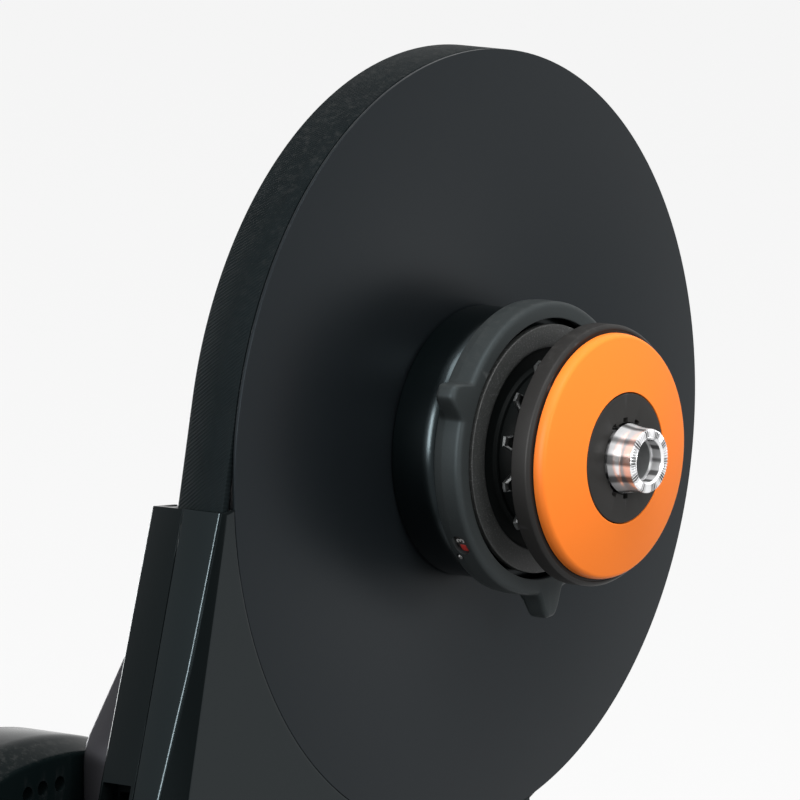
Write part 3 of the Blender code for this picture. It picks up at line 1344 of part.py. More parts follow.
def case_outline(inset):
    """The electronics case follows the front strut; an inset moves each side inwards."""
    corners = [(58.0, -156.0), (30.0, -160.0), (70.0, -240.0), (118.0, -240.0)]
    middle = sum((Vector(corner) for corner in corners), Vector((0.0, 0.0))) / len(corners)
    points = []
    for y, z in corners:
        inwards = (middle - Vector((y, z))).normalized() * inset * 1.5
        points.append((y + inwards.x, z + inwards.y, 7.0))
    return rounded(points)


def make_electronics():
    """Case on the front strut's far side with the circuit board, power inlet and status lens."""
    back = FRAME_BACK - GAP - CASE_DEPTH
    front = FRAME_BACK - GAP
    outline = case_outline(0.0)
    inside = case_outline(CASE_WALL + 0.6)
    edge = case_outline(1.2)
    case = place(
        "electronics_case",
        solid([(back, edge), (back + 2.0, outline), (front, outline)], [], [(inside, back + CASE_WALL, [])]),
        BLACK,
    )
    lens_place = (52.0, -172.0)
    holes = join(
        rod(5.8, back - 1.0, back + CASE_WALL + 1.0, SMALL_COUNT, INLET_PLACE),
        rod(2.3, back - 1.0, back + CASE_WALL + 1.0, TINY_COUNT, lens_place),
    )
    cut(case, place("case_hole_tool", holes, BLACK))
    outer = circle(5.5, SMALL_COUNT, INLET_PLACE)
    flange = circle(7.5, SMALL_COUNT, INLET_PLACE)
    socket = circle(3.0, TINY_COUNT, INLET_PLACE)
    pin = circle(1.1, TINY_COUNT, INLET_PLACE)
    body = solid(
        [(back - GAP - 1.0, flange), (back - GAP, flange), (back - GAP, outer), (back + 11.0, outer)],
        [], (), [(socket, back + 8.0, [pin])],
    )
    inlet_pin = bmesh.new()
    loft(inlet_pin, [(back + 8.0, pin), (back, pin)])
    flat(inlet_pin, back, [pin])
    place("power_inlet", join(body, inlet_pin), BLACK, INLET_PLACE)
    dome = [
        (back - 0.4, circle(LENS_RADIUS - 0.4, TINY_COUNT, lens_place)),
        (back + 0.1, circle(LENS_RADIUS, TINY_COUNT, lens_place)),
        (back + 7.0, circle(LENS_RADIUS, TINY_COUNT, lens_place)),
    ]
    place("status_lens", solid(dome), LENS, lens_place)
    board = case_outline(CASE_WALL + 1.2)
    place("circuit_board", prism(board, back + 11.6, back + 13.2), BOARD)


def make_speed_sensor():
    """Optical sensor on the frame that counts the big pulley's ribs."""
    spot = rounded([(-34.0, -22.0, 2.0), (-48.0, -22.0, 2.0), (-48.0, -40.0, 2.0), (-34.0, -40.0, 2.0)])
    place("speed_sensor", prism(spot, FRAME_FRONT + GAP, FRAME_FRONT + 7.6), BLACK)


def clear_scene():
    """Removes what a new Blender file starts with."""
    for obj in list(bpy.data.objects):
        bpy.data.objects.remove(obj)


def main():
    """Builds every piece of the trainer."""
    clear_scene()
    make_drive_pulley()
    make_pulley_face()
    make_hub_cover()
    make_pulley_hub()
    make_belt()
    make_small_pulley()
    make_tensioner()
    make_axle()
    make_end_caps()
    make_ratchet_ring()
    make_freehub()
    make_lockring()
    make_carrier()
    make_adjuster_ring()
    make_guides()
    make_sprocket()
    make_flywheel()
    make_flywheel_shaft()
    make_brake()
    make_frame()
    make_legs()
    drill_frame()
    make_covers()
    make_electronics()
    make_speed_sensor()


main()
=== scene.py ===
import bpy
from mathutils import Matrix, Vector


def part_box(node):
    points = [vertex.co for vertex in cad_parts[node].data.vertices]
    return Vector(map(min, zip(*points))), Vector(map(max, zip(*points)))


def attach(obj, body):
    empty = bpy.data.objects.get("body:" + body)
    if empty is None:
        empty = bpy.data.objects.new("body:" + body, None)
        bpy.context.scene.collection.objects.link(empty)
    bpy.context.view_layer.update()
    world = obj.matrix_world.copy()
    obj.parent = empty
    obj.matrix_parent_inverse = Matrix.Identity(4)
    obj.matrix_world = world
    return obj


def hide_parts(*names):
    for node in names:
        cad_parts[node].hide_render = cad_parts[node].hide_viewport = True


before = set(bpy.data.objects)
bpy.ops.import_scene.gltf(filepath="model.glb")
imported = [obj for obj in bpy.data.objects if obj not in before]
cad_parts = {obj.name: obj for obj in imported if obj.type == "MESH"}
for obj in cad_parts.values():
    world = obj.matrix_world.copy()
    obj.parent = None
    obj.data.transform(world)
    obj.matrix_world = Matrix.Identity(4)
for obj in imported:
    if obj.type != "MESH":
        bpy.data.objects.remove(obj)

"""Looks of the direct drive bike trainer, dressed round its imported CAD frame.

Sizes are in millimetres in the hub frame: the origin is the hub axis in the middle between the
dropouts, x points to the drive side, y forward and z up. An outline is a list of (y, z) points and
a profile a list of (x, radius) points. Each mesh is made in place, in metres, in the row frame.
"""

import logging
import math
from dataclasses import dataclass
from enum import Enum
from typing import Callable, Iterable, Sequence

import bmesh
import bpy
from mathutils import Matrix, Vector

log = logging.getLogger("trainer")

MM = 0.001
GAP = 0.3

# Points round a circle: on the large rims, on middling parts and on small ones
FINE = 224
ROUND = 112
SMALL = 48

# Sizes that several sub-assemblies share
PULLEY_RADIUS = 117.0
DISC_FACE = 5.6
SHAFT_RADIUS = 6.0
HUB_NOSE_END = 71.0
FRAME_FRONT = -22.4
FRAME_BACK = -35.4
AXLE_BOSS_BACK = -61.5
BEARING_BOSS_RADIUS = 24.0
BEARING_BOSS_FRONT = -14.2
CARRIER_RADIUS = 20.9
GUARD_BACK = -21.4
GUARD_SCREWS = ((-128.0, -110.0), (-108.0, -196.0), (-70.0, -94.0))

# Colours that lie over a finish, and the angle at which the painted reflection bands start
DUST_COLOUR = (0.45, 0.44, 0.42)
SPECK_COLOUR = (0.3, 0.3, 0.31)
PAINTED_REFLECTION_START = 120.0

Point = tuple[float, float]
Outline = list[Point]
Ring = tuple[float, Outline]
Rows = list[list[bmesh.types.BMVert]]


def middle_of(node: str) -> Vector:
    """Middle of a CAD node's box, in metres."""
    low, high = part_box(node)
    return (low + high) / 2


HUB = middle_of("pulley_face")
HUB.x = 0.0
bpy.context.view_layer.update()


def from_hub(node: str) -> Point:
    """(y, z) of a CAD node's middle from the hub axis, in millimetres."""
    place = (middle_of(node) - HUB) / MM
    return (place.y, place.z)


FLYWHEEL_AXIS = from_hub("flywheel_shaft")
IDLER_AXIS = from_hub("idler_pulley")
ARM_AXIS = from_hub("tensioner_bolt")
FLOOR = -HUB.z / MM


# Outlines

def polar(radius: float, degrees: float, centre: Point = (0.0, 0.0)) -> Point:
    """The point at a radius and an angle, counted from forward towards up."""
    angle = math.radians(degrees)
    return (centre[0] + radius * math.cos(angle), centre[1] + radius * math.sin(angle))


def circle(radius: float, count: int = SMALL, centre: Point = (0.0, 0.0)) -> Outline:
    """A round outline of count points."""
    return [polar(radius, 360.0 * index / count, centre) for index in range(count)]


def arc(radius: float, start: float, end: float, count: int, centre: Point = (0.0, 0.0)) -> Outline:
    """Points along an arc, both ends included."""
    return [polar(radius, start + (end - start) * index / count, centre) for index in range(count + 1)]


def rounded(corners: Sequence[tuple[float, float, float]], step: float = 7.5) -> Outline:
    """A closed outline through rounded corners.

    Args:
        corners: (y, z, radius) of each corner.
        step: Largest turn between two points of an arc, in degrees.

    Returns:
        The outline.
    """
    points: Outline = []
    for index, (y, z, radius) in enumerate(corners):
        corner = Vector((y, z))
        if radius <= 0:
            points.append((y, z))
            continue
        before = (Vector(corners[index - 1][:2]) - corner).normalized()
        after = (Vector(corners[(index + 1) % len(corners)][:2]) - corner).normalized()
        half = before.angle(after) / 2
        centre = corner + (before + after).normalized() * radius / math.sin(half)
        start = corner + before * radius / math.tan(half) - centre
        end = corner + after * radius / math.tan(half) - centre
        turn = math.atan2(start.x * end.y - start.y * end.x, start.dot(end))
        steps = max(1, math.ceil(abs(turn) / math.radians(step) - 0.01))
        for number in range(steps + 1):
            angle = turn * number / steps
            points.append((
                centre.x + start.x * math.cos(angle) - start.y * math.sin(angle),
                centre.y + start.x * math.sin(angle) + start.y * math.cos(angle),
            ))
    return points


def wrap(circles: Sequence[tuple[Point, float, int]], step: float = 3.0) -> list[tuple[Vector, Vector]]:
    """Stations of a band that runs round circles.

    Args:
        circles: (centre, radius, side) of each; side is 1 inside the band and -1 on its back.
        step: Largest turn between two stations, in degrees.

    Returns:
        A point and the direction towards the inside of the band for each station.
    """
    count = len(circles)
    headings = []
    for index, (centre, radius, side) in enumerate(circles):
        next_centre, next_radius, next_side = circles[(index + 1) % count]
        reach = Vector(next_centre) - Vector(centre)
        lean = (side * radius - next_side * next_radius) / reach.length
        headings.append(math.atan2(reach.y, reach.x) + math.asin(lean))
    stations = []
    for index, (centre, radius, side) in enumerate(circles):
        turn = (headings[index] - headings[index - 1]) * side % (2 * math.pi) * side
        steps = max(1, math.ceil(abs(turn) / math.radians(step)))
        for number in range(steps + 1):
            heading = headings[index - 1] + turn * number / steps
            inward = Vector((-math.sin(heading), math.cos(heading)))
            stations.append((Vector(centre) - inward * side * radius, inward))
    return stations


def moved(outline: Outline, y: float, z: float) -> Outline:
    """The outline shifted by y and z."""
    return [(point[0] + y, point[1] + z) for point in outline]


def inset(outline: Outline, amount: float) -> Outline:
    """The outline with each side moved inwards by an amount, or outwards where it is negative.

    Args:
        outline: The outline.
        amount: How far each side moves.

    Returns:
        The moved outline.
    """
    if amount == 0:
        return list(outline)
    area = sum(
        a[0] * b[1] - b[0] * a[1] for a, b in zip(outline, outline[1:] + outline[:1])
    )
    side = math.copysign(1.0, area)
    points: Outline = []
    for index, here in enumerate(outline):
        before = (Vector(here) - Vector(outline[index - 1])).normalized()
        after = (Vector(outline[(index + 1) % len(outline)]) - Vector(here)).normalized()
        normals = [Vector((-way.y, way.x)) * side for way in (before, after)]
        mitre = (normals[0] + normals[1]) / max(0.4, 1.0 + normals[0].dot(normals[1]))
        points.append((here[0] + mitre.x * amount, here[1] + mitre.y * amount))
    return points


def bent(profile: Sequence[Sequence[float]], reach: float, steps: int = 3) -> Outline:
    """A closed profile with its corners rounded.

    Args:
        profile: (x, radius) corners, with a third value where one has a reach of its own.
        reach: How far from a corner its rounding starts.
        steps: Faces across a rounding.

    Returns:
        The finer profile.
    """
    points: Outline = []
    count = len(profile)
    for index, corner in enumerate(profile):
        here = Vector(corner[:2])
        before = Vector(profile[index - 1][:2]) - here
        after = Vector(profile[(index + 1) % count][:2]) - here
        wanted = corner[2] if len(corner) > 2 else reach
        cut = min(wanted, 0.45 * before.length, 0.45 * after.length)
        if cut <= 0.001:
            points.append(tuple(here))
            continue
        start = here + before.normalized() * cut
        end = here + after.normalized() * cut
        for number in range(steps + 1):
            t = number / steps
            points.append(tuple(start * (1 - t) ** 2 + here * 2 * t * (1 - t) + end * t ** 2))
    return points


# Meshes

def rows_of(bm: bmesh.types.BMesh, rings: Sequence[Ring]) -> Rows:
    """A row of new vertices for each ring."""
    return [[bm.verts.new((x, y, z)) for y, z in outline] for x, outline in rings]


def weave(bm: bmesh.types.BMesh, rows: Rows, closed: bool = False) -> list[bmesh.types.BMFace]:
    """Faces between neighbouring rows of vertices, each of which runs in a loop.

    Args:
        bm: The mesh.
        rows: Rows of equal length.
        closed: Whether the last row joins the first.

    Returns:
        The faces, row by row.
    """
    pairs = list(zip(rows, rows[1:]))
    if closed:
        pairs.append((rows[-1], rows[0]))
    faces = []
    for low, high in pairs:
        for index in range(len(low)):
            after = (index + 1) % len(low)
            faces.append(bm.faces.new((low[index], low[after], high[after], high[index])))
    return faces


def loft(bm: bmesh.types.BMesh, rings: Sequence[Ring], closed: bool = False) -> None:
    """Walls between outlines of equal length, each given with its x."""
    weave(bm, rows_of(bm, rings), closed)


def flat(bm: bmesh.types.BMesh, level: float, outlines: Sequence[Outline]) -> None:
    """A flat face at x = level inside the first outline, with the others left open.

    Args:
        bm: The mesh that takes the face.
        level: x of the face.
        outlines: The outside, and then each opening.
    """
    edges = []
    for outline in outlines:
        verts = [bm.verts.new((level, y, z)) for y, z in outline]
        for index, vert in enumerate(verts):
            edges.append(bm.edges.new((vert, verts[(index + 1) % len(verts)])))
    bmesh.ops.triangle_fill(bm, use_beauty=True, edges=edges, normal=(1.0, 0.0, 0.0))


def rim(outline: Outline, level: float, way: int, edge: float, steps: int = 3) -> list[Ring]:
    """Rings of a rounded edge, from the wall to the face at x = level.

    Args:
        outline: The wall's outline.
        level: x of the face.
        way: 1 where the face looks along +x and -1 along -x.
        edge: Radius of the rounding, negative round a hole.
        steps: Faces across the rounding.

    Returns:
        The rings.
    """
    rings = []
    size = abs(edge)
    for number in range(steps + 1):
        angle = math.radians(90.0 * number / steps)
        wall = inset(outline, edge * (1 - math.cos(angle)))
        rings.append((level - way * size * (1 - math.sin(angle)), wall))
    return rings


@dataclass
class Step:
    """A boss or a pocket on a face: its outline, the level of its end and the holes in that end."""

    outline: Outline
    level: float
    holes: Sequence[Outline] = ()


@dataclass
class Bore:
    """A hole right through: its outline and the levels of its two mouths."""

    outline: Outline
    back: float
    front: float


def slab(
    outline: Outline,
    back: float,
    front: float,
    edge: float,
    bores: Sequence[Bore] = (),
    front_steps: Sequence[Step] = (),
    back_steps: Sequence[Step] = (),
) -> bmesh.types.BMesh:
    """A plate with rounded edges, holes, bosses and pockets.

    Args:
        outline: The plate's outside.
        back: x of its back face.
        front: x of its front face.
        edge: Radius of every edge.
        bores: Holes right through.
        front_steps: Bosses and pockets on the front face.
        back_steps: The same on the back face.

    Returns:
        The mesh.
    """
    bm = bmesh.new()
    loft(bm, rim(outline, back, -1, edge)[::-1] + rim(outline, front, 1, edge))
    for bore in bores:
        loft(bm, rim(bore.outline, bore.back, -1, -edge)[::-1] + rim(bore.outline, bore.front, 1, -edge))
    for way, level, steps in ((1, front, front_steps), (-1, back, back_steps)):
        open_here = [inset(outline, edge)]
        taken = [hole for step in steps for hole in step.holes]
        for step in steps:
            if (step.level - level) * way > 0:
                loft(bm, [(level, step.outline)] + rim(step.outline, step.level, way, edge))
                open_here.append(step.outline)
                end = inset(step.outline, edge)
            else:
                loft(bm, rim(step.outline, level, way, -edge)[::-1] + [(step.level, step.outline)])
                open_here.append(inset(step.outline, -edge))
                end = step.outline
            flat(bm, step.level, [end] + [inset(hole, -edge) for hole in step.holes])
        for bore in bores:
            mouth = bore.front if way > 0 else bore.back
            if bore.outline not in taken and abs(mouth - level) < 0.01:
                open_here.append(inset(bore.outline, -edge))
        flat(bm, level, open_here)
    return bm


def lathe(profile: Outline, count: int, centre: Point = (0.0, 0.0)) -> bmesh.types.BMesh:
    """A body of revolution about x from a closed profile.

    Args:
        profile: Closed list of (x, radius).
        count: Points round the circle.
        centre: (y, z) of the axis.

    Returns:
        The mesh.
    """
    bm = bmesh.new()
    loft(bm, [(x, circle(radius, count, centre)) for x, radius in profile], closed=True)
    return bm


def stacked(rings: Sequence[Ring]) -> bmesh.types.BMesh:
    """A body through rings, closed by a flat face at each end.

    Args:
        rings: Outlines of equal length with their x, from end to end.

    Returns:
        The mesh.
    """
    bm = bmesh.new()
    loft(bm, rings)
    flat(bm, rings[0][0], [rings[0][1]])
    flat(bm, rings[-1][0], [rings[-1][1]])
    return bm


def peg(radius: float, back: float, front: float, edge: float, count: int = SMALL,
        centre: Point = (0.0, 0.0)) -> bmesh.types.BMesh:
    """A round bar along x with rounded ends."""
    outline = circle(radius, count, centre)
    return stacked(rim(outline, back, -1, edge)[::-1] + rim(outline, front, 1, edge))


def upright(bm: bmesh.types.BMesh, x: float, y: float) -> bmesh.types.BMesh:
    """Turns a mesh made along x so that it stands along z at (x, y).

    Args:
        bm: The mesh, which is changed.
        x: x of its axis.
        y: y of its axis.

    Returns:
        The same mesh.
    """
    swap = Matrix(((0, 0, 1, 0), (0, 1, 0, 0), (1, 0, 0, 0), (0, 0, 0, 1)))
    bmesh.ops.transform(bm, matrix=Matrix.Translation((x, y, 0.0)) @ swap, verts=bm.verts)
    return bm


def spun(bm: bmesh.types.BMesh, degrees: float, centre: Point = (0.0, 0.0)) -> bmesh.types.BMesh:
    """Turns a mesh about the x axis through centre.

    Args:
        bm: The mesh, which is changed.
        degrees: The turn.
        centre: (y, z) of the axis.

    Returns:
        The same mesh.
    """
    shift = Matrix.Translation((0.0, centre[0], centre[1]))
    turn = shift @ Matrix.Rotation(math.radians(degrees), 4, "X")
    bmesh.ops.transform(bm, matrix=turn @ shift.inverted(), verts=bm.verts)
    return bm


def to_mesh(name: str, bm: bmesh.types.BMesh) -> bpy.types.Mesh:
    """Closes a mesh drawn in the hub frame and turns it into metres in the row frame.

    Args:
        name: Name of the new mesh.
        bm: Its shape, which is freed.

    Returns:
        The mesh.
    """
    bmesh.ops.remove_doubles(bm, verts=bm.verts, dist=0.0008)
    bmesh.ops.recalc_face_normals(bm, faces=bm.faces)
    bmesh.ops.scale(bm, vec=(MM, MM, MM), verts=bm.verts)
    bmesh.ops.translate(bm, vec=HUB, verts=bm.verts)
    mesh = bpy.data.meshes.new(name)
    bm.to_mesh(mesh)
    bm.free()
    return mesh


def combine(obj: bpy.types.Object, tools: Iterable[bmesh.types.BMesh], operation: str) -> None:
    """Joins tools to an object or cuts them out of it, and keeps the result as its mesh.

    Args:
        obj: The object.
        tools: Closed meshes in the hub frame.
        operation: UNION or DIFFERENCE.
    """
    for tool in tools:
        other = bpy.data.objects.new("tool", to_mesh("tool", tool))
        bpy.context.scene.collection.objects.link(other)
        modifier = obj.modifiers.new("join", "BOOLEAN")
        modifier.operation = operation
        modifier.solver = "EXACT"
        modifier.object = other
        bpy.context.view_layer.update()
        graph = bpy.context.evaluated_depsgraph_get()
        result = bpy.data.meshes.new_from_object(obj.evaluated_get(graph))
        obj.modifiers.clear()
        obj.data = result
        bpy.data.objects.remove(other)


# Node groups

class NodeMaker:
    """Places and links nodes in a tree, column by column."""

    def __init__(self, tree: bpy.types.NodeTree) -> None:
        """Starts with an empty tree."""
        self.tree = tree
        self.tree.nodes.clear()
        self.column = 0

    def add(self, kind: str, **settings: object) -> bpy.types.Node:
        """Adds a node and sets its properties.

        Args:
            kind: Type of the node.
            settings: Its properties by name.

        Returns:
            The node.
        """
        node = self.tree.nodes.new(kind)
        node.location = (self.column * 180, 0)
        self.column += 1
        for name, value in settings.items():
            setattr(node, name, value)
        return node

    def link(self, source: bpy.types.NodeSocket, target: bpy.types.NodeSocket) -> None:
        """Links two sockets."""
        self.tree.links.new(source, target)

    def math(self, operation: str, *values: object) -> bpy.types.NodeSocket:
        """A Math node.

        Args:
            operation: Name of the operation.
            values: Sockets or numbers for its inputs.

        Returns:
            Its output.
        """
        node = self.add("ShaderNodeMath", operation=operation)
        for index, value in enumerate(values):
            if isinstance(value, bpy.types.NodeSocket):
                self.link(value, node.inputs[index])
            else:
                node.inputs[index].default_value = value
        return node.outputs[0]

    def noise(self, vector: bpy.types.NodeSocket, scale: object, detail: float, roughness: float = 0.5,
              colour: bool = False) -> bpy.types.NodeSocket:
        """A Noise node's factor or colour.

        Args:
            vector: Where the noise is read.
            scale: Its scale, a socket or a number.
            detail: Its detail.
            roughness: Its roughness.
            colour: Whether the colour is wanted.

        Returns:
            The factor or the colour.
        """
        node = self.add("ShaderNodeTexNoise")
        self.link(vector, node.inputs["Vector"])
        if isinstance(scale, bpy.types.NodeSocket):
            self.link(scale, node.inputs["Scale"])
        else:
            node.inputs["Scale"].default_value = scale
        node.inputs["Detail"].default_value = detail
        node.inputs["Roughness"].default_value = roughness
        return node.outputs["Color" if colour else "Fac"]

    def spread(self, value: bpy.types.NodeSocket, low: float, high: float) -> bpy.types.NodeSocket:
        """A value stretched so that low becomes 0 and high 1, kept within them.

        Args:
            value: The value.
            low: What becomes 0.
            high: What becomes 1.

        Returns:
            The result.
        """
        node = self.add("ShaderNodeMapRange")
        self.link(value, node.inputs["Value"])
        node.inputs["From Min"].default_value = low
        node.inputs["From Max"].default_value = high
        return node.outputs["Result"]

    def axes(self, vector: bpy.types.NodeSocket) -> tuple[bpy.types.NodeSocket, ...]:
        """The x, y and z of a vector.

        Args:
            vector: The vector.

        Returns:
            Its three parts.
        """
        node = self.add("ShaderNodeSeparateXYZ")
        self.link(vector, node.inputs[0])
        return tuple(node.outputs)

    def vector(self, *values: object) -> bpy.types.NodeSocket:
        """A vector from three sockets or numbers.

        Args:
            values: Three sockets or numbers.

        Returns:
            The vector.
        """
        node = self.add("ShaderNodeCombineXYZ")
        for index, value in enumerate(values):
            if isinstance(value, bpy.types.NodeSocket):
                self.link(value, node.inputs[index])
            else:
                node.inputs[index].default_value = value
        return node.outputs[0]


class Effect(Enum):
    """Surface effects that several finishes share."""

    GRAIN = "moulded_grain"
    WEAR = "edge_wear"
    DUST = "settled_dust"
    TURNED = "turning_marks"
    TWILL = "belt_twill"
    STRANDS = "stacked_strands"
    PAINTED_REFLECTIONS = "painted_reflection_bands"


def new_group(
    effect: Effect, inputs: dict[str, float], outputs: Sequence[str]
) -> tuple[NodeMaker, bpy.types.Node, bpy.types.Node]:
    """A node group with named sockets.

    Args:
        effect: What the group is for.
        inputs: Names and values of its number inputs.
        outputs: Names of its number outputs.

    Returns:
        The maker, the group's input node and its output node.
    """
    tree = bpy.data.node_groups.new(effect.value, "ShaderNodeTree")
    for name, value in inputs.items():
        socket = tree.interface.new_socket(name=name, in_out="INPUT", socket_type="NodeSocketFloat")
        socket.default_value = value
    for name in outputs:
        tree.interface.new_socket(name=name, in_out="OUTPUT", socket_type="NodeSocketFloat")
    maker = NodeMaker(tree)
    return maker, maker.add("NodeGroupInput"), maker.add("NodeGroupOutput")


def grain_group() -> None:
    """Moulded or painted surface: fine bumps, and slow changes of tone."""
    maker, given, out = new_group(
        Effect.GRAIN, {"Scale": 900.0, "Speckle": 0.5}, ("Height", "Tint", "Spots")
    )
    spot = maker.add("ShaderNodeTexCoord").outputs["Object"]
    fine = maker.noise(spot, given.outputs["Scale"], 3.0, 0.6)
    slow = maker.noise(spot, 14.0, 2.0)
    grains = maker.add("ShaderNodeTexVoronoi", feature="F1")
    maker.link(spot, grains.inputs["Vector"])
    maker.link(maker.math("MULTIPLY", given.outputs["Scale"], 1.3), grains.inputs["Scale"])
    pits = maker.spread(grains.outputs["Distance"], 0.15, 0.75)
    mixed = maker.add("ShaderNodeMix", data_type="FLOAT")
    maker.link(given.outputs["Speckle"], mixed.inputs["Factor"])
    maker.link(fine, mixed.inputs["A"])
    maker.link(pits, mixed.inputs["B"])
    maker.link(mixed.outputs["Result"], out.inputs["Height"])
    maker.link(slow, out.inputs["Tint"])
    maker.link(maker.spread(fine, 0.56, 0.7), out.inputs["Spots"])


def wear_group() -> None:
    """Mask of the edges that hands and tools have rubbed."""
    maker, given, out = new_group(Effect.WEAR, {"Amount": 0.5}, ("Mask",))
    geometry = maker.add("ShaderNodeNewGeometry")
    spot = maker.add("ShaderNodeTexCoord").outputs["Object"]
    edge = maker.spread(geometry.outputs["Pointiness"], 0.53, 0.62)
    patches = maker.spread(maker.noise(spot, 160.0, 4.0, 0.7), 0.35, 0.7)
    rubbed = maker.math("MULTIPLY", edge, patches)
    maker.link(maker.math("MULTIPLY", rubbed, given.outputs["Amount"]), out.inputs["Mask"])


def dust_group() -> None:
    """Mask of the faint dust on faces that look up."""
    maker, given, out = new_group(Effect.DUST, {"Amount": 0.1}, ("Mask",))
    geometry = maker.add("ShaderNodeNewGeometry")
    spot = maker.add("ShaderNodeTexCoord").outputs["Object"]
    up = maker.spread(maker.axes(geometry.outputs["Normal"])[2], 0.3, 1.0)
    specks = maker.spread(maker.noise(spot, 420.0, 5.0, 0.7), 0.5, 0.75)
    settled = maker.math("MULTIPLY", up, specks)
    maker.link(maker.math("MULTIPLY", settled, given.outputs["Amount"]), out.inputs["Mask"])


def turned_group() -> None:
    """Fine rings that a lathe tool leaves about an axis along x."""
    maker, given, out = new_group(
        Effect.TURNED,
        {"Axis Y": 0.0, "Axis Z": 0.0, "Pitch": 0.0004, "Run Out": 0.2},
        ("Height", "Tint"),
    )
    spot = maker.add("ShaderNodeTexCoord").outputs["Object"]
    x, y, z = maker.axes(spot)
    across = maker.math("SUBTRACT", y, given.outputs["Axis Y"])
    up = maker.math("SUBTRACT", z, given.outputs["Axis Z"])
    squares = maker.math("ADD", maker.math("MULTIPLY", across, across), maker.math("MULTIPLY", up, up))
    radius = maker.math("SQRT", squares)
    angle = maker.math("ARCTAN2", up, across)
    wide = [maker.math("MULTIPLY", value, 60.0) for value in (radius, x)]
    drift = maker.noise(maker.vector(*wide, angle), 3.0, 2.0)
    along = maker.math("ADD", maker.math("DIVIDE", maker.math("ADD", radius, x), given.outputs["Pitch"]),
                       maker.math("MULTIPLY", drift, given.outputs["Run Out"]))
    bands = maker.noise(maker.vector(along, maker.math("MULTIPLY", angle, 0.35), 0.0), 1.0, 3.0, 0.7)
    maker.link(bands, out.inputs["Height"])
    maker.link(drift, out.inputs["Tint"])


def twill_group() -> None:
    """Diagonal cloth on the belt's back, laid out by its own length and width."""
    maker, given, out = new_group(Effect.TWILL, {"Pitch": 0.0011}, ("Height", "Tint"))
    cloth = maker.add("ShaderNodeUVMap", uv_map="cloth").outputs["UV"]
    along, across, _ = maker.axes(cloth)
    slant = maker.math("ADD", along, maker.math("MULTIPLY", across, 0.9))
    steep = maker.math("SUBTRACT", along, maker.math("MULTIPLY", across, 0.45))
    turns = math.tau
    pitch = given.outputs["Pitch"]
    ribs = maker.math("SINE", maker.math("MULTIPLY", maker.math("DIVIDE", slant, pitch), turns))
    threads = maker.math("SINE", maker.math("MULTIPLY", maker.math("DIVIDE", steep, pitch), turns * 2.3))
    fuzz = maker.noise(maker.vector(along, across, 0.0), 2600.0, 2.0, 0.6)
    height = maker.math("ADD", maker.math("MULTIPLY", ribs, 0.3), maker.math("MULTIPLY", threads, 0.12))
    height = maker.math("ADD", height, maker.math("MULTIPLY", fuzz, 0.35))
    maker.link(maker.spread(height, -0.4, 0.7), out.inputs["Height"])
    slow = maker.noise(maker.vector(along, maker.math("MULTIPLY", across, 4.0), 0.0), 90.0, 3.0)
    maker.link(slow, out.inputs["Tint"])


def strands_group() -> None:
    """Even lines across x, for stacked sheets and wound wire."""
    maker, given, out = new_group(Effect.STRANDS, {"Pitch": 0.001}, ("Height", "Tint"))
    spot = maker.add("ShaderNodeTexCoord").outputs["Object"]
    turns = maker.math("DIVIDE", maker.axes(spot)[0], given.outputs["Pitch"])
    wave = maker.math("SINE", maker.math("MULTIPLY", turns, math.tau))
    maker.link(maker.spread(wave, -1.0, 1.0), out.inputs["Height"])
    maker.link(maker.noise(spot, 220.0, 3.0), out.inputs["Tint"])


def painted_reflections_group() -> None:
    """Painted reflections: bright and dark bands round a polished round part, standing in for what its
    plating reflects.
    """
    maker, given, out = new_group(
        Effect.PAINTED_REFLECTIONS, {"Axis Y": 0.0, "Axis Z": 0.0, "Count": 10.0, "Start": 0.0}, ("Mask",)
    )
    _, y, z = maker.axes(maker.add("ShaderNodeTexCoord").outputs["Object"])
    across = maker.math("SUBTRACT", y, given.outputs["Axis Y"])
    up = maker.math("SUBTRACT", z, given.outputs["Axis Z"])
    angle = maker.math("SUBTRACT", maker.math("ARCTAN2", up, across), given.outputs["Start"])
    even = maker.math("COSINE", maker.math("MULTIPLY", angle, given.outputs["Count"]))
    uneven = maker.math("COSINE", maker.math("MULTIPLY", angle, 3.0))
    both = maker.spread(maker.math("MULTIPLY_ADD", uneven, 0.35, even), -0.75, 0.1)
    facing = maker.axes(maker.add("ShaderNodeNewGeometry").outputs["Normal"])[0]
    end = maker.spread(maker.math("ABSOLUTE", facing), 0.45, 0.6)
    maker.link(maker.math("MAXIMUM", both, end), out.inputs["Mask"])


# Finishes

class Pattern(Enum):
    """What gives a finish its relief."""

    GRAIN = 1
    TURNED = 2
    TWILL = 3
    STRANDS = 4


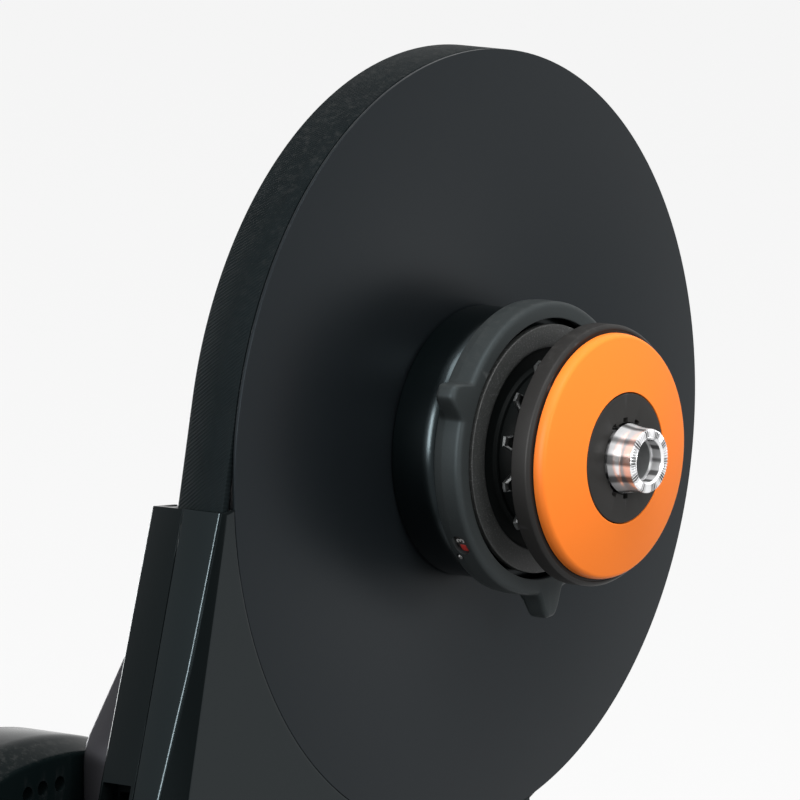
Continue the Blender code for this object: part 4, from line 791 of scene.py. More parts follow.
@dataclass(frozen=True)
class Finish:
    """A finish of the real object, with what its material needs.

    Sizes are in metres here, as the shader reads the row frame.
    """

    name: str
    slot: str
    colour: tuple[float, float, float]
    roughness: float
    worn: tuple[float, float, float] = (0.16, 0.16, 0.17)
    metallic: float = 0.0
    specular: float = 0.5
    tint: tuple[float, float, float] = (1.0, 1.0, 1.0)
    pattern: Pattern = Pattern.GRAIN
    scale: float = 900.0
    pitch: float = 0.0004
    speckle: float = 0.3
    relief: float = 0.00003
    strength: float = 0.5
    tone: float = 0.12
    rough_change: float = 0.08
    wear: float = 0.25
    dust: float = 0.04
    spots: float = 0.0
    painted_reflections: float = 0.0

    def material(self) -> bpy.types.Material:
        """The finish as a procedural material, made once.

        Returns:
            The material.
        """
        known = bpy.data.materials.get(self.name)
        if known:
            return known
        material = bpy.data.materials.new(self.name)
        material.use_nodes = True
        maker = NodeMaker(material.node_tree)
        out = maker.add("ShaderNodeOutputMaterial")
        shader = maker.add("ShaderNodeBsdfPrincipled")
        maker.link(shader.outputs[0], out.inputs["Surface"])
        shader.inputs["Metallic"].default_value = self.metallic
        shader.inputs["Specular IOR Level"].default_value = self.specular
        shader.inputs["Specular Tint"].default_value = (*self.tint, 1.0)
        height, tint, spots = self.relief_of(maker)
        bump = maker.add("ShaderNodeBump")
        bump.inputs["Strength"].default_value = self.strength
        bump.inputs["Distance"].default_value = self.relief
        maker.link(height, bump.inputs["Height"])
        maker.link(bump.outputs["Normal"], shader.inputs["Normal"])
        dark = tuple(value * (1.0 - self.tone) for value in self.colour)
        light = tuple(value * (1.0 + self.tone) for value in self.colour)
        colour = self.mixed(maker, tint, dark, light)
        wear = self.group(maker, Effect.WEAR, {"Amount": self.wear}).outputs["Mask"]
        colour = self.mixed(maker, wear, colour, self.worn)
        dust = self.group(maker, Effect.DUST, {"Amount": self.dust}).outputs["Mask"]
        colour = self.mixed(maker, dust, colour, DUST_COLOUR)
        if spots is not None and self.spots:
            colour = self.mixed(maker, maker.math("MULTIPLY", spots, self.spots), colour, SPECK_COLOUR)
        # Painted reflections: the base colour darkens in bands round the hub axis, in place of what the
        # plating reflects.
        if self.painted_reflections:
            place = {"Axis Y": HUB.y, "Axis Z": HUB.z, "Start": math.radians(PAINTED_REFLECTION_START)}
            mask = self.group(maker, Effect.PAINTED_REFLECTIONS, place).outputs["Mask"]
            shade = tuple(value * (1.0 - self.painted_reflections) for value in self.colour)
            colour = self.mixed(maker, mask, shade, colour)
        maker.link(colour, shader.inputs["Base Color"])
        rough = maker.math("MULTIPLY_ADD", tint, self.rough_change, self.roughness - self.rough_change / 2)
        maker.link(maker.math("ADD", rough, maker.math("MULTIPLY", dust, 0.4)), shader.inputs["Roughness"])
        return material

    def group(self, maker: NodeMaker, effect: Effect, values: dict[str, float]) -> bpy.types.Node:
        """Places a shared effect with this finish's own values.

        Args:
            maker: Places the node.
            effect: Which group.
            values: Its inputs by name.

        Returns:
            The node.
        """
        node = maker.add("ShaderNodeGroup", node_tree=bpy.data.node_groups[effect.value])
        for name, value in values.items():
            node.inputs[name].default_value = value
        return node

    def mixed(
        self, maker: NodeMaker, factor: bpy.types.NodeSocket, a: object, b: object
    ) -> bpy.types.NodeSocket:
        """A Mix node between two colours or sockets.

        Args:
            maker: Places the node.
            factor: How much of b there is.
            a: First colour or socket.
            b: Second colour or socket.

        Returns:
            The mixed colour.
        """
        node = maker.add("ShaderNodeMix", data_type="RGBA")
        maker.link(factor, node.inputs["Factor"])
        for socket, value in ((node.inputs[6], a), (node.inputs[7], b)):
            if isinstance(value, bpy.types.NodeSocket):
                maker.link(value, socket)
            else:
                socket.default_value = (*value, 1.0)
        return node.outputs[2]

    def relief_of(self, maker: NodeMaker) -> tuple[object, object, object]:
        """Height, tint and spots of the finish's pattern.

        Args:
            maker: Places the nodes.

        Returns:
            The three sockets; None where the pattern has no spots.
        """
        if self.pattern is Pattern.TURNED:
            node = self.group(maker, Effect.TURNED, {"Axis Y": HUB.y, "Axis Z": HUB.z, "Pitch": self.pitch})
            return node.outputs["Height"], node.outputs["Tint"], None
        if self.pattern is Pattern.TWILL:
            node = self.group(maker, Effect.TWILL, {"Pitch": self.pitch})
            return node.outputs["Height"], node.outputs["Tint"], None
        if self.pattern is Pattern.STRANDS:
            node = self.group(maker, Effect.STRANDS, {"Pitch": self.pitch})
            return node.outputs["Height"], node.outputs["Tint"], None
        node = self.group(maker, Effect.GRAIN, {"Scale": self.scale, "Speckle": self.speckle})
        return node.outputs["Height"], node.outputs["Tint"], node.outputs["Spots"]


class Finishes:
    """Every finish on the trainer."""

    cool = (0.8, 1.0, 1.08)
    frame_paint = Finish(
        "frame_paint", "frame_paint", (0.002, 0.0023, 0.0024), 0.34, specular=0.03, tint=cool,
        scale=1500.0, wear=0.0, dust=0.0,
    )
    leg_paint = Finish(
        "leg_paint", "leg_paint", (0.006, 0.006, 0.007), 0.38, specular=0.15, scale=1300.0, wear=0.0,
        dust=0.1,
    )
    cover = Finish(
        "cover_plastic", "satin_black", (0.0032, 0.0048, 0.0052), 0.2, specular=0.19, tint=cool,
        scale=1800.0, wear=0.0,
    )
    # Darker copy of the cover's plastic for its rear chamfer: painted shade, as the chamfer looks away from
    # the light.
    chamfer = Finish(
        "chamfer_painted_shade", "satin_black", (0.002, 0.003, 0.0032), 0.26, specular=0.05, tint=cool,
        scale=1800.0, wear=0.0,
    )
    satin = Finish(
        "satin_plastic", "satin_black", (0.0024, 0.0034, 0.0036), 0.2, specular=0.11, tint=cool,
        scale=1500.0, wear=0.0,
    )
    disc = Finish(
        "disc_anodised", "disc_black", (0.0052, 0.0067, 0.0079), 0.36, specular=0.17,
        tint=(0.84, 1.0, 1.12), scale=2500.0, relief=0.000008, tone=0.05, wear=0.0,
    )
    gloss = Finish(
        "gloss_plastic", "gloss_black", (0.001, 0.0018, 0.002), 0.26, specular=0.22, tint=cool,
        relief=0.000004, wear=0.0, dust=0.0,
    )
    soft = Finish(
        "soft_touch", "soft_black", (0.026, 0.0298, 0.0303), 0.5, specular=0.16, tint=cool,
        scale=2600.0, speckle=0.5, relief=0.00004, strength=0.5, tone=0.1, spots=0.04,
        worn=(0.08, 0.085, 0.085), wear=0.8,
    )
    dish = Finish(
        "grained_plastic", "satin_black", (0.027, 0.0286, 0.0278), 0.45, specular=0.3, scale=2000.0,
        speckle=0.6, relief=0.00006, strength=0.8, tone=0.2, spots=0.25, worn=(0.3, 0.3, 0.3), wear=1.0,
    )
    # Darker copy of the dish's plastic: painted shade for the deep middle of the dished guide and for the
    # spacers between the guides.
    pit = Finish(
        "deep_painted_shade", "satin_black", (0.0045, 0.0056, 0.0056), 0.6, specular=0.05, wear=0.0, dust=0.0
    )
    guide = Finish(
        "guide_plastic", "satin_black", (0.0165, 0.0158, 0.0152), 0.5, specular=0.16, scale=2400.0,
        speckle=0.4, relief=0.00002, tone=0.06,
    )
    hub_cap = Finish(
        "cap_plastic", "satin_black", (0.024, 0.0232, 0.022), 0.48, specular=0.12, scale=2400.0,
        speckle=0.4, relief=0.00002, tone=0.06,
    )
    orange = Finish(
        "orange_plastic", "orange", (0.97, 0.225, 0.028), 0.45, specular=0.1, scale=1900.0,
        relief=0.00001, tone=0.03, wear=0.0, dust=0.02,
    )
    # Polished plate whose base colour carries painted reflections: dark bands round the hub axis.
    chrome = Finish(
        "polished_plate", "chrome", (0.9, 0.9, 0.91), 0.1, worn=(0.95, 0.95, 0.95), metallic=0.5,
        pattern=Pattern.TURNED, pitch=0.00012, relief=0.000004, tone=0.04, rough_change=0.04, painted_reflections=0.8,
    )
    # A darker, duller copy of the plating: painted shade for the drive cap's bore and the bottoms between
    # its serrations.
    bore = Finish(
        "bore_painted_shade", "chrome", (0.3, 0.31, 0.31), 0.3, metallic=0.4, pattern=Pattern.TURNED,
        pitch=0.0002, relief=0.000006,
    )
    ball = Finish(
        "dull_steel_ball", "chrome", (0.06, 0.06, 0.06), 0.4, worn=(0.2, 0.2, 0.2), metallic=1.0,
        relief=0.000004,
    )
    steel = Finish(
        "turned_steel", "steel", (0.42, 0.42, 0.43), 0.32, worn=(0.6, 0.6, 0.6), metallic=1.0,
        pattern=Pattern.TURNED, pitch=0.00025, relief=0.00001, tone=0.1,
    )
    black_steel = Finish(
        "blackened_steel", "steel", (0.006, 0.006, 0.0065), 0.3, worn=(0.6, 0.62, 0.62), metallic=1.0,
        scale=1500.0, wear=1.4,
    )
    bolt = Finish(
        "bolt_steel", "steel", (0.05, 0.05, 0.052), 0.35, worn=(0.3, 0.3, 0.3), metallic=1.0,
        scale=1500.0, wear=0.6,
    )
    cast = Finish(
        "cast_grey", "cast_grey", (0.16, 0.16, 0.165), 0.5, worn=(0.4, 0.4, 0.4), metallic=1.0,
        scale=700.0, relief=0.00006,
    )
    flywheel = Finish(
        "flywheel_enamel", "flywheel_black", (0.0025, 0.0045, 0.0048), 0.13, specular=0.03,
        scale=500.0, relief=0.000004, tone=0.1, rough_change=0.03, wear=0.3,
    )
    winding = Finish(
        "winding", "winding", (0.45, 0.14, 0.05), 0.35, worn=(0.6, 0.3, 0.15), metallic=0.6,
        pattern=Pattern.STRANDS, pitch=0.0009, relief=0.0003, strength=1.0,
    )
    core = Finish(
        "core_sheets", "winding", (0.2, 0.2, 0.205), 0.4, metallic=1.0, pattern=Pattern.STRANDS,
        pitch=0.0005, relief=0.0001,
    )
    rubber = Finish(
        "black_rubber", "rubber", (0.013, 0.013, 0.013), 0.75, specular=0.3, scale=1100.0,
        relief=0.00005, dust=0.2,
    )
    belt = Finish(
        "belt_cloth", "belt_rubber", (0.0035, 0.0054, 0.006), 0.55, specular=0.04, tint=cool,
        pattern=Pattern.TWILL, pitch=0.0013, relief=0.00016, strength=1.0, tone=0.3, wear=0.1,
    )
    belt_ribs = Finish("belt_ribs", "belt_rubber", (0.008, 0.008, 0.0082), 0.6, specular=0.2, scale=1100.0)
    scale_white = Finish("scale_white", "white", (0.8, 0.8, 0.78), 0.5, tone=0.03, worn=(0.6, 0.6, 0.58))
    scale_black = Finish("scale_black", "white", (0.02, 0.02, 0.02), 0.5)
    scale_red = Finish("scale_red", "white", (0.7, 0.03, 0.02), 0.5)
    board = Finish("board_green", "board", (0.01, 0.11, 0.04), 0.4, worn=(0.3, 0.4, 0.3), relief=0.00002)
    lens = Finish("lens_clear", "lens", (0.6, 0.66, 0.7), 0.15, tone=0.05)


def make_groups() -> None:
    """Builds each shared effect once."""
    for build in (grain_group, wear_group, dust_group, turned_group, twill_group, strands_group,
                  painted_reflections_group):
        build()


# Pieces

def piece(
    name: str,
    bm: bmesh.types.BMesh,
    finish: Finish,
    body: str,
    replaced: Sequence[str] = (),
    joined: Sequence[bmesh.types.BMesh] = (),
    cut: Sequence[bmesh.types.BMesh] = (),
    smooth: float = 35.0,
    more: Sequence[Finish] = (),
    second: Callable[[Vector, Vector], bool] | None = None,
) -> bpy.types.Object:
    """Makes a shown piece from a mesh.

    Args:
        name: Name of the piece.
        bm: Its mesh in the hub frame.
        finish: Its finish.
        body: The CAD body that it rides on.
        replaced: CAD nodes that it stands for.
        joined: Meshes joined to it.
        cut: Meshes cut out of it.
        smooth: Edges that turn less than this many degrees are shaded smooth.
        more: Further finishes, for faces with a higher material index.
        second: Says from a face's middle and normal, in the hub frame, whether it takes the second finish.

    Returns:
        The piece.
    """
    obj = bpy.data.objects.new(name, to_mesh(name, bm))
    bpy.context.scene.collection.objects.link(obj)
    combine(obj, joined, "UNION")
    combine(obj, cut, "DIFFERENCE")
    obj.data.materials.clear()
    for look in (finish, *more):
        obj.data.materials.append(look.material())
    for face in obj.data.polygons:
        if second and second((face.center - HUB) / MM, face.normal):
            face.material_index = 1
    obj.data.shade_smooth()
    obj.data.set_sharp_from_angle(angle=math.radians(smooth))
    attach(obj, body)
    if replaced:
        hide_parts(*replaced)
    log.info("piece %s: %d faces", name, len(obj.data.polygons))
    return obj


def dress(finish: Finish, *nodes: str) -> None:
    """Gives carried-over CAD nodes a finish.

    Args:
        finish: The finish.
        nodes: Names of the CAD nodes.
    """
    for node in nodes:
        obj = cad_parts[node]
        obj.data.materials.clear()
        obj.data.materials.append(finish.material())
        log.info("dressed %s with %s", node, finish.name)


@dataclass
class BeltDrive:
    """Big pulley with its face disc, the ribbed belt, the small pulley and the idler."""

    outer_radius: float = PULLEY_RADIUS
    ribs: int = 7
    rib_pitch: float = 2.34
    rib_height: float = 1.8
    backing: float = 2.2
    middle: float = -4.0
    clearance: float = 0.45
    disc_face: float = DISC_FACE
    disc_thickness: float = 1.0
    disc_chamfer: float = 0.1
    disc_bore: float = 35.5
    web: float = 3.6
    rim_depth: float = 5.0
    pulley_bore: float = 27.3
    spokes: int = 8
    spoke_start: float = 38.0
    spoke_width: float = 4.0
    small_radius: float = 15.675
    shaft_radius: float = SHAFT_RADIUS
    idler_radius: float = 10.0
    idler_bore: float = 4.0
    idler_hub: float = 7.0
    web_step: float = 1.6
    web_step_out: float = 48.0
    web_step_in: float = 44.0
    belt_rounding: float = 0.45

    @property
    def belt_back(self) -> float:
        """x of the belt's edge away from the drive side."""
        return self.middle - self.ribs * self.rib_pitch / 2

    @property
    def belt_front(self) -> float:
        """x of the belt's edge on the drive side."""
        return self.middle + self.ribs * self.rib_pitch / 2

    @property
    def disc_back(self) -> float:
        """x of the face disc's back."""
        return self.disc_face - self.disc_thickness

    def rib_points(self) -> Outline:
        """(x, depth) points of the belt's ribbed side, from the drive side inwards.

        Returns:
            The points.
        """
        flat_half = 0.18
        points: Outline = [(self.belt_front, self.backing)]
        for rib in range(self.ribs):
            edge = self.belt_front - rib * self.rib_pitch
            crest = edge - self.rib_pitch / 2
            root = edge - self.rib_pitch
            points.append((crest + flat_half, self.backing + self.rib_height))
            points.append((crest - flat_half, self.backing + self.rib_height))
            if rib < self.ribs - 1:
                points.append((root + flat_half, self.backing))
                points.append((root - flat_half, self.backing))
        points.append((self.belt_back, self.backing))
        return points

    def make_belt(self) -> None:
        """The belt as one band, with its length and width kept as a map for the cloth."""
        circles = [
            ((0.0, 0.0), self.outer_radius, 1),
            (FLYWHEEL_AXIS, self.small_radius, 1),
            (IDLER_AXIS, self.idler_radius + GAP, -1),
        ]
        turn = self.belt_rounding
        section = [(self.belt_back, turn), (self.belt_back + 0.13, 0.13), (self.belt_back + turn, 0.0)]
        section += [(self.belt_front - turn, 0.0), (self.belt_front - 0.13, 0.13), (self.belt_front, turn)]
        back_sides = len(section) - 1
        section += self.rib_points()
        stations = wrap(circles, 1.5)
        bm = bmesh.new()
        cloth = bm.loops.layers.uv.new("cloth")
        rows = []
        run = [0.0]
        for index, (point, inward) in enumerate(stations):
            spots = [point + inward * depth for x, depth in section]
            rows.append([bm.verts.new((x, spot.x, spot.y)) for (x, depth), spot in zip(section, spots)])
            following = stations[(index + 1) % len(stations)][0]
            run.append(run[-1] + (following - point).length)
        for count, face in enumerate(weave(bm, rows, closed=True)):
            number, index = divmod(count, len(section))
            after = (index + 1) % len(section)
            face.material_index = 0 if index < back_sides else 1
            for loop, place in zip(face.loops, ((index, 0), (after, 0), (after, 1), (index, 1))):
                x = section[place[0]][0]
                loop[cloth].uv = (run[number + place[1]] * MM, x * MM)
        piece("ribbed_belt", bm, Finishes.belt, "root", ["belt"], smooth=40.0, more=[Finishes.belt_ribs])

    def grooves(self, radius: float) -> Outline:
        """(x, radius) points of a grooved rim under a belt whose back is at radius."""
        return [(x, radius - self.clearance - depth) for x, depth in self.rib_points()]

    def make_pulley(self) -> None:
        """The cast pulley: grooved rim, web and ribs behind it."""
        grooves = self.grooves(self.outer_radius)
        inside = self.outer_radius - self.backing - self.rib_height - self.rim_depth
        front = self.disc_back - GAP
        web_back = front - self.web
        back = self.belt_back - 0.1
        profile = [(front, grooves[0][1])] + grooves + [(back, grooves[-1][1])]
        profile += [
            (back, inside, 0.8), (web_back, inside - 3.0, 4.0), (web_back, self.web_step_out, 2.0),
            (web_back - self.web_step, self.web_step_in, 2.0),
            (web_back - self.web_step, self.spoke_start - 2.2, 0.4), (web_back, self.spoke_start - 2.4),
            (web_back, self.pulley_bore), (front, self.pulley_bore),
        ]
        spokes = []
        for index in range(self.spokes):
            half = self.spoke_width / 2
            end = inside + 2.0
            outline = [(self.spoke_start, -half), (end, -half), (end, half), (self.spoke_start, half)]
            spoke = slab(outline, self.belt_back + 4.0, web_back + 1.0, 0.6)
            spokes.append(spun(spoke, 360.0 * (index + 0.5) / self.spokes))
        body = lathe(bent(profile, 0.12, 2), FINE)
        piece("cast_pulley", body, Finishes.cast, "pulley_set", ["drive_pulley"], joined=spokes)

    def make_disc(self) -> None:
        """The thin disc that closes the pulley's drive side, with its edge just broken."""
        face, back, rim_radius = self.disc_face, self.disc_back, self.outer_radius
        profile = [
            (face, self.disc_bore), (back, self.disc_bore), (back, rim_radius, 0.1),
            (face - self.disc_chamfer, rim_radius, 0.1), (face, rim_radius - self.disc_chamfer, 0.12),
        ]
        piece("face_disc", lathe(bent(profile, 0.1, 2), FINE), Finishes.disc, "pulley_set", ["pulley_face"],
              smooth=20.0)

    def make_small_pulley(self) -> None:
        """The small grooved pulley on the flywheel shaft."""
        grooves = self.grooves(self.small_radius)
        flange = grooves[0][1]
        front, back = self.belt_front + 0.2, self.belt_back - 0.6
        bore = self.shaft_radius + GAP
        profile = [(front, flange), *grooves, (back, flange), (back, bore), (front, bore)]
        body = lathe(bent(profile, 0.1, 2), ROUND, FLYWHEEL_AXIS)
        piece("motor_side_pulley", body, Finishes.steel, "flywheel_set", ["small_pulley"])

    def make_idler(self) -> None:
        """The smooth idler that presses on the belt's back."""
        back, front, radius = self.belt_back - 0.4, self.belt_front, self.idler_radius
        bore, hub = self.idler_bore, self.idler_hub
        profile = [
            (back, bore), (back, hub, 0.3), (back + 0.5, hub + 0.3, 0.2), (back + 0.5, radius - 1.4, 0.2),
            (back, radius - 1.0, 0.3), (back, radius - 0.3, 0.4), (back + 1.5, radius, 0.6),
            (front - 1.5, radius, 0.6), (front, radius - 0.3, 0.4), (front, radius - 1.0, 0.3),
            (front - 0.5, radius - 1.4, 0.2), (front - 0.5, hub + 0.3, 0.2), (front, hub, 0.3),
            (front, bore),
        ]
        body = lathe(bent(profile, 0.2, 2), 64, IDLER_AXIS)
        piece("belt_idler", body, Finishes.satin, "idler", ["idler_pulley"])

    def build(self) -> None:
        """Builds and dresses the belt drive."""
        self.make_belt()
        self.make_pulley()
        self.make_disc()
        self.make_small_pulley()
        self.make_idler()
        dress(Finishes.cast, "tensioner_arm")
        dress(Finishes.bolt, "tensioner_bolt", "idler_pin")


@dataclass
class HubUnit:
    """Pulley hub, glossy cover, freehub, axle and end caps."""

    cover_radius: float = 40.5
    cover_back: float = 5.9
    cover_front: float = 22.6
    cover_bend: float = 5.0
    cover_bore: float = 27.6
    cover_wall: float = 2.0
    hub_radius: float = 27.0
    flange_radius: float = 36.0
    flange_front: float = 0.4
    hub_back: float = -12.69
    hub_front: float = 23.4
    ratchet_seat: float = 22.8
    ratchet_back: float = 14.3
    stop_front: float = 6.9
    stop_back: float = -5.09
    stop_radius: float = 12.0
    screws: int = 6
    screw_radius: float = 1.8
    screw_head: float = 3.0
    screw_socket: float = 1.4
    screw_back: float = -1.6
    screw_seat: float = 4.6
    screw_top: float = 7.0
    bearing_seat: float = 15.3
    tip: float = HUB_NOSE_END
    nose_radius: float = 9.5
    cone_radius: float = 10.5
    cone_back: float = 62.6
    knee: float = 66.6
    cap_back: float = 56.1
    bore: float = 6.1
    axle_end: float = 60.0
    axle_nose: float = 7.5
    axle_radius: float = 8.5
    serrations: int = 64
    serration_depth: float = 0.5
    shoulder: float = 3.6
    collar_radius: float = 12.0
    frame_boss_back: float = AXLE_BOSS_BACK

    def make_cover(self) -> None:
        """The glossy round cover in the middle of the disc."""
        radius, front, wall = self.cover_radius, self.cover_front, self.cover_wall
        profile = [
            (self.cover_back, radius, 0.3), (front, radius, self.cover_bend * 1.3),
            (front, self.cover_bore, 0.4), (front - wall, self.cover_bore, 0.3),
            (front - wall, radius - wall, self.cover_bend * 0.9), (self.cover_back, radius - wall, 0.2),
        ]
        piece("boss_cover", lathe(bent(profile, 0.3, 8), 160), Finishes.gloss, "pulley_set", ["hub_cover"])

    def make_hub(self) -> None:
        """The turned hub with the flange that the pulley is screwed to."""
        profile = [
            (self.hub_back, self.hub_radius, 0.8), (self.flange_front - 4.0, self.hub_radius, 0.5),
            (self.flange_front - 4.0, self.flange_radius, 0.5),
            (self.flange_front, self.flange_radius, 0.3),
            (self.flange_front, self.hub_radius, 0.2), (self.hub_front, self.hub_radius, 0.5),
            (self.hub_front, self.ratchet_seat, 0.3), (self.ratchet_back, self.ratchet_seat, 0.2),
            (self.ratchet_back, self.bearing_seat, 0.3), (self.stop_front, self.bearing_seat, 0.2),
            (self.stop_front, self.stop_radius, 0.3), (self.stop_back, self.stop_radius, 0.3),
            (self.stop_back, self.bearing_seat, 0.2), (self.hub_back, self.bearing_seat, 0.4),
        ]
        screws = []
        for index in range(self.screws):
            spot = polar((self.hub_radius + self.flange_radius) / 2, 360.0 * index / self.screws)
            socket = Step(circle(self.screw_socket, 6, spot), self.screw_top - 1.6)
            head = slab(circle(self.screw_head, 32, spot), self.screw_seat, self.screw_top, 0.3,
                        front_steps=[socket])
            shank = peg(self.screw_radius, self.screw_back, self.screw_seat + 0.2, 0.1, 24, spot)
            screws += [shank, head]
        body = lathe(bent(profile, 0.2, 2), ROUND)
        piece("turned_hub", body, Finishes.steel, "pulley_set", ["pulley_hub"], joined=screws)

    def make_drive_cap(self) -> None:
        """The plated cap on the drive side: cone, nose and serrated face round its bore."""
        tip, nose, bore = self.tip, self.nose_radius, self.bore
        count = self.serrations * 4
        profile = bent([
            (self.cap_back, self.axle_nose + GAP), (self.cap_back, nose - 0.5, 0.2),
            (self.cone_back - 0.6, nose - 0.5, 0.2), (self.cone_back, self.cone_radius, 0.25),
            (self.knee, nose + 0.15, 0.5), (tip - 0.5, nose + 0.05, 0.25),
        ], 0.15, 4)
        faces = [(tip - 0.28, nose - 0.12), (tip, nose - 0.55), (tip, bore + 1.05)]
        step = tip - self.shoulder
        inner = [
            (tip - 0.1, bore + 0.95), (tip - 0.7, bore + 0.3), (step, bore + 0.3), (step, bore + 0.8),
            (step - 0.7, bore + 0.8), (step - 0.7, bore + 0.25), (step - 0.95, bore),
            (self.axle_end + GAP, bore), (self.axle_end + GAP, self.axle_nose + GAP),
        ]
        groove = tip - self.serration_depth * 0.6

        def inside(middle: Vector, normal: Vector) -> bool:
            """True for the bore's wall and for the bottoms between the serrations, whose darker finish is
            painted shade.
            """
            radius = math.hypot(middle.y, middle.z)
            between = bore + 1.0 < radius < nose - 0.5 and step < middle.x < groove
            return radius < bore + 0.27 or between
        bm = bmesh.new()
        rows = rows_of(bm, [(x, circle(radius, count)) for x, radius in profile])
        for x, radius in faces:
            row = []
            for index in range(count):
                low = index % 4 in (2, 3)
                y, z = polar(radius, 360.0 * index / count)
                row.append(bm.verts.new((x - (self.serration_depth if low else 0.0), y, z)))
            rows.append(row)
        rows += rows_of(bm, [(x, circle(radius, count)) for x, radius in inner])
        weave(bm, rows, closed=True)
        piece("drive_cap", bm, Finishes.chrome, "root", ["drive_end_cap"],
              smooth=12.0, more=[Finishes.bore], second=inside)

    def make_other_cap(self) -> None:
        """The plain cap against the frame's boss on the other side."""
        tip, bore = -self.tip, self.bore
        inner = self.frame_boss_back - GAP
        collar, collar_back, seat = self.collar_radius, tip + 5.0, tip + 4.2
        profile = [
            (inner, self.axle_radius + GAP), (inner, collar, 0.5), (collar_back, collar, 0.8),
            (collar_back, self.nose_radius, 0.3), (tip, self.nose_radius, 0.45), (tip, bore, 0.45),
            (seat, bore, 0.1), (seat, self.axle_radius + GAP, 0.1),
        ]
        body = lathe(bent(profile, 0.2, 3), ROUND)
        piece("other_cap", body, Finishes.chrome, "root", ["non_drive_end_cap"])

    def build(self) -> None:
        """Builds and dresses the hub."""
        self.make_cover()
        self.make_hub()
        self.make_drive_cap()
        self.make_other_cap()
        dress(Finishes.steel, "hub_axle", "freehub_body", "ratchet_ring", "pawl_1", "pawl_2", "pawl_3",
              "hub_bearing_inner", "hub_bearing_outer", "freehub_bearing_inner", "freehub_bearing_outer",
              "flywheel_bearing_inner", "flywheel_bearing_outer")
        dress(Finishes.rubber, "freehub_seal")


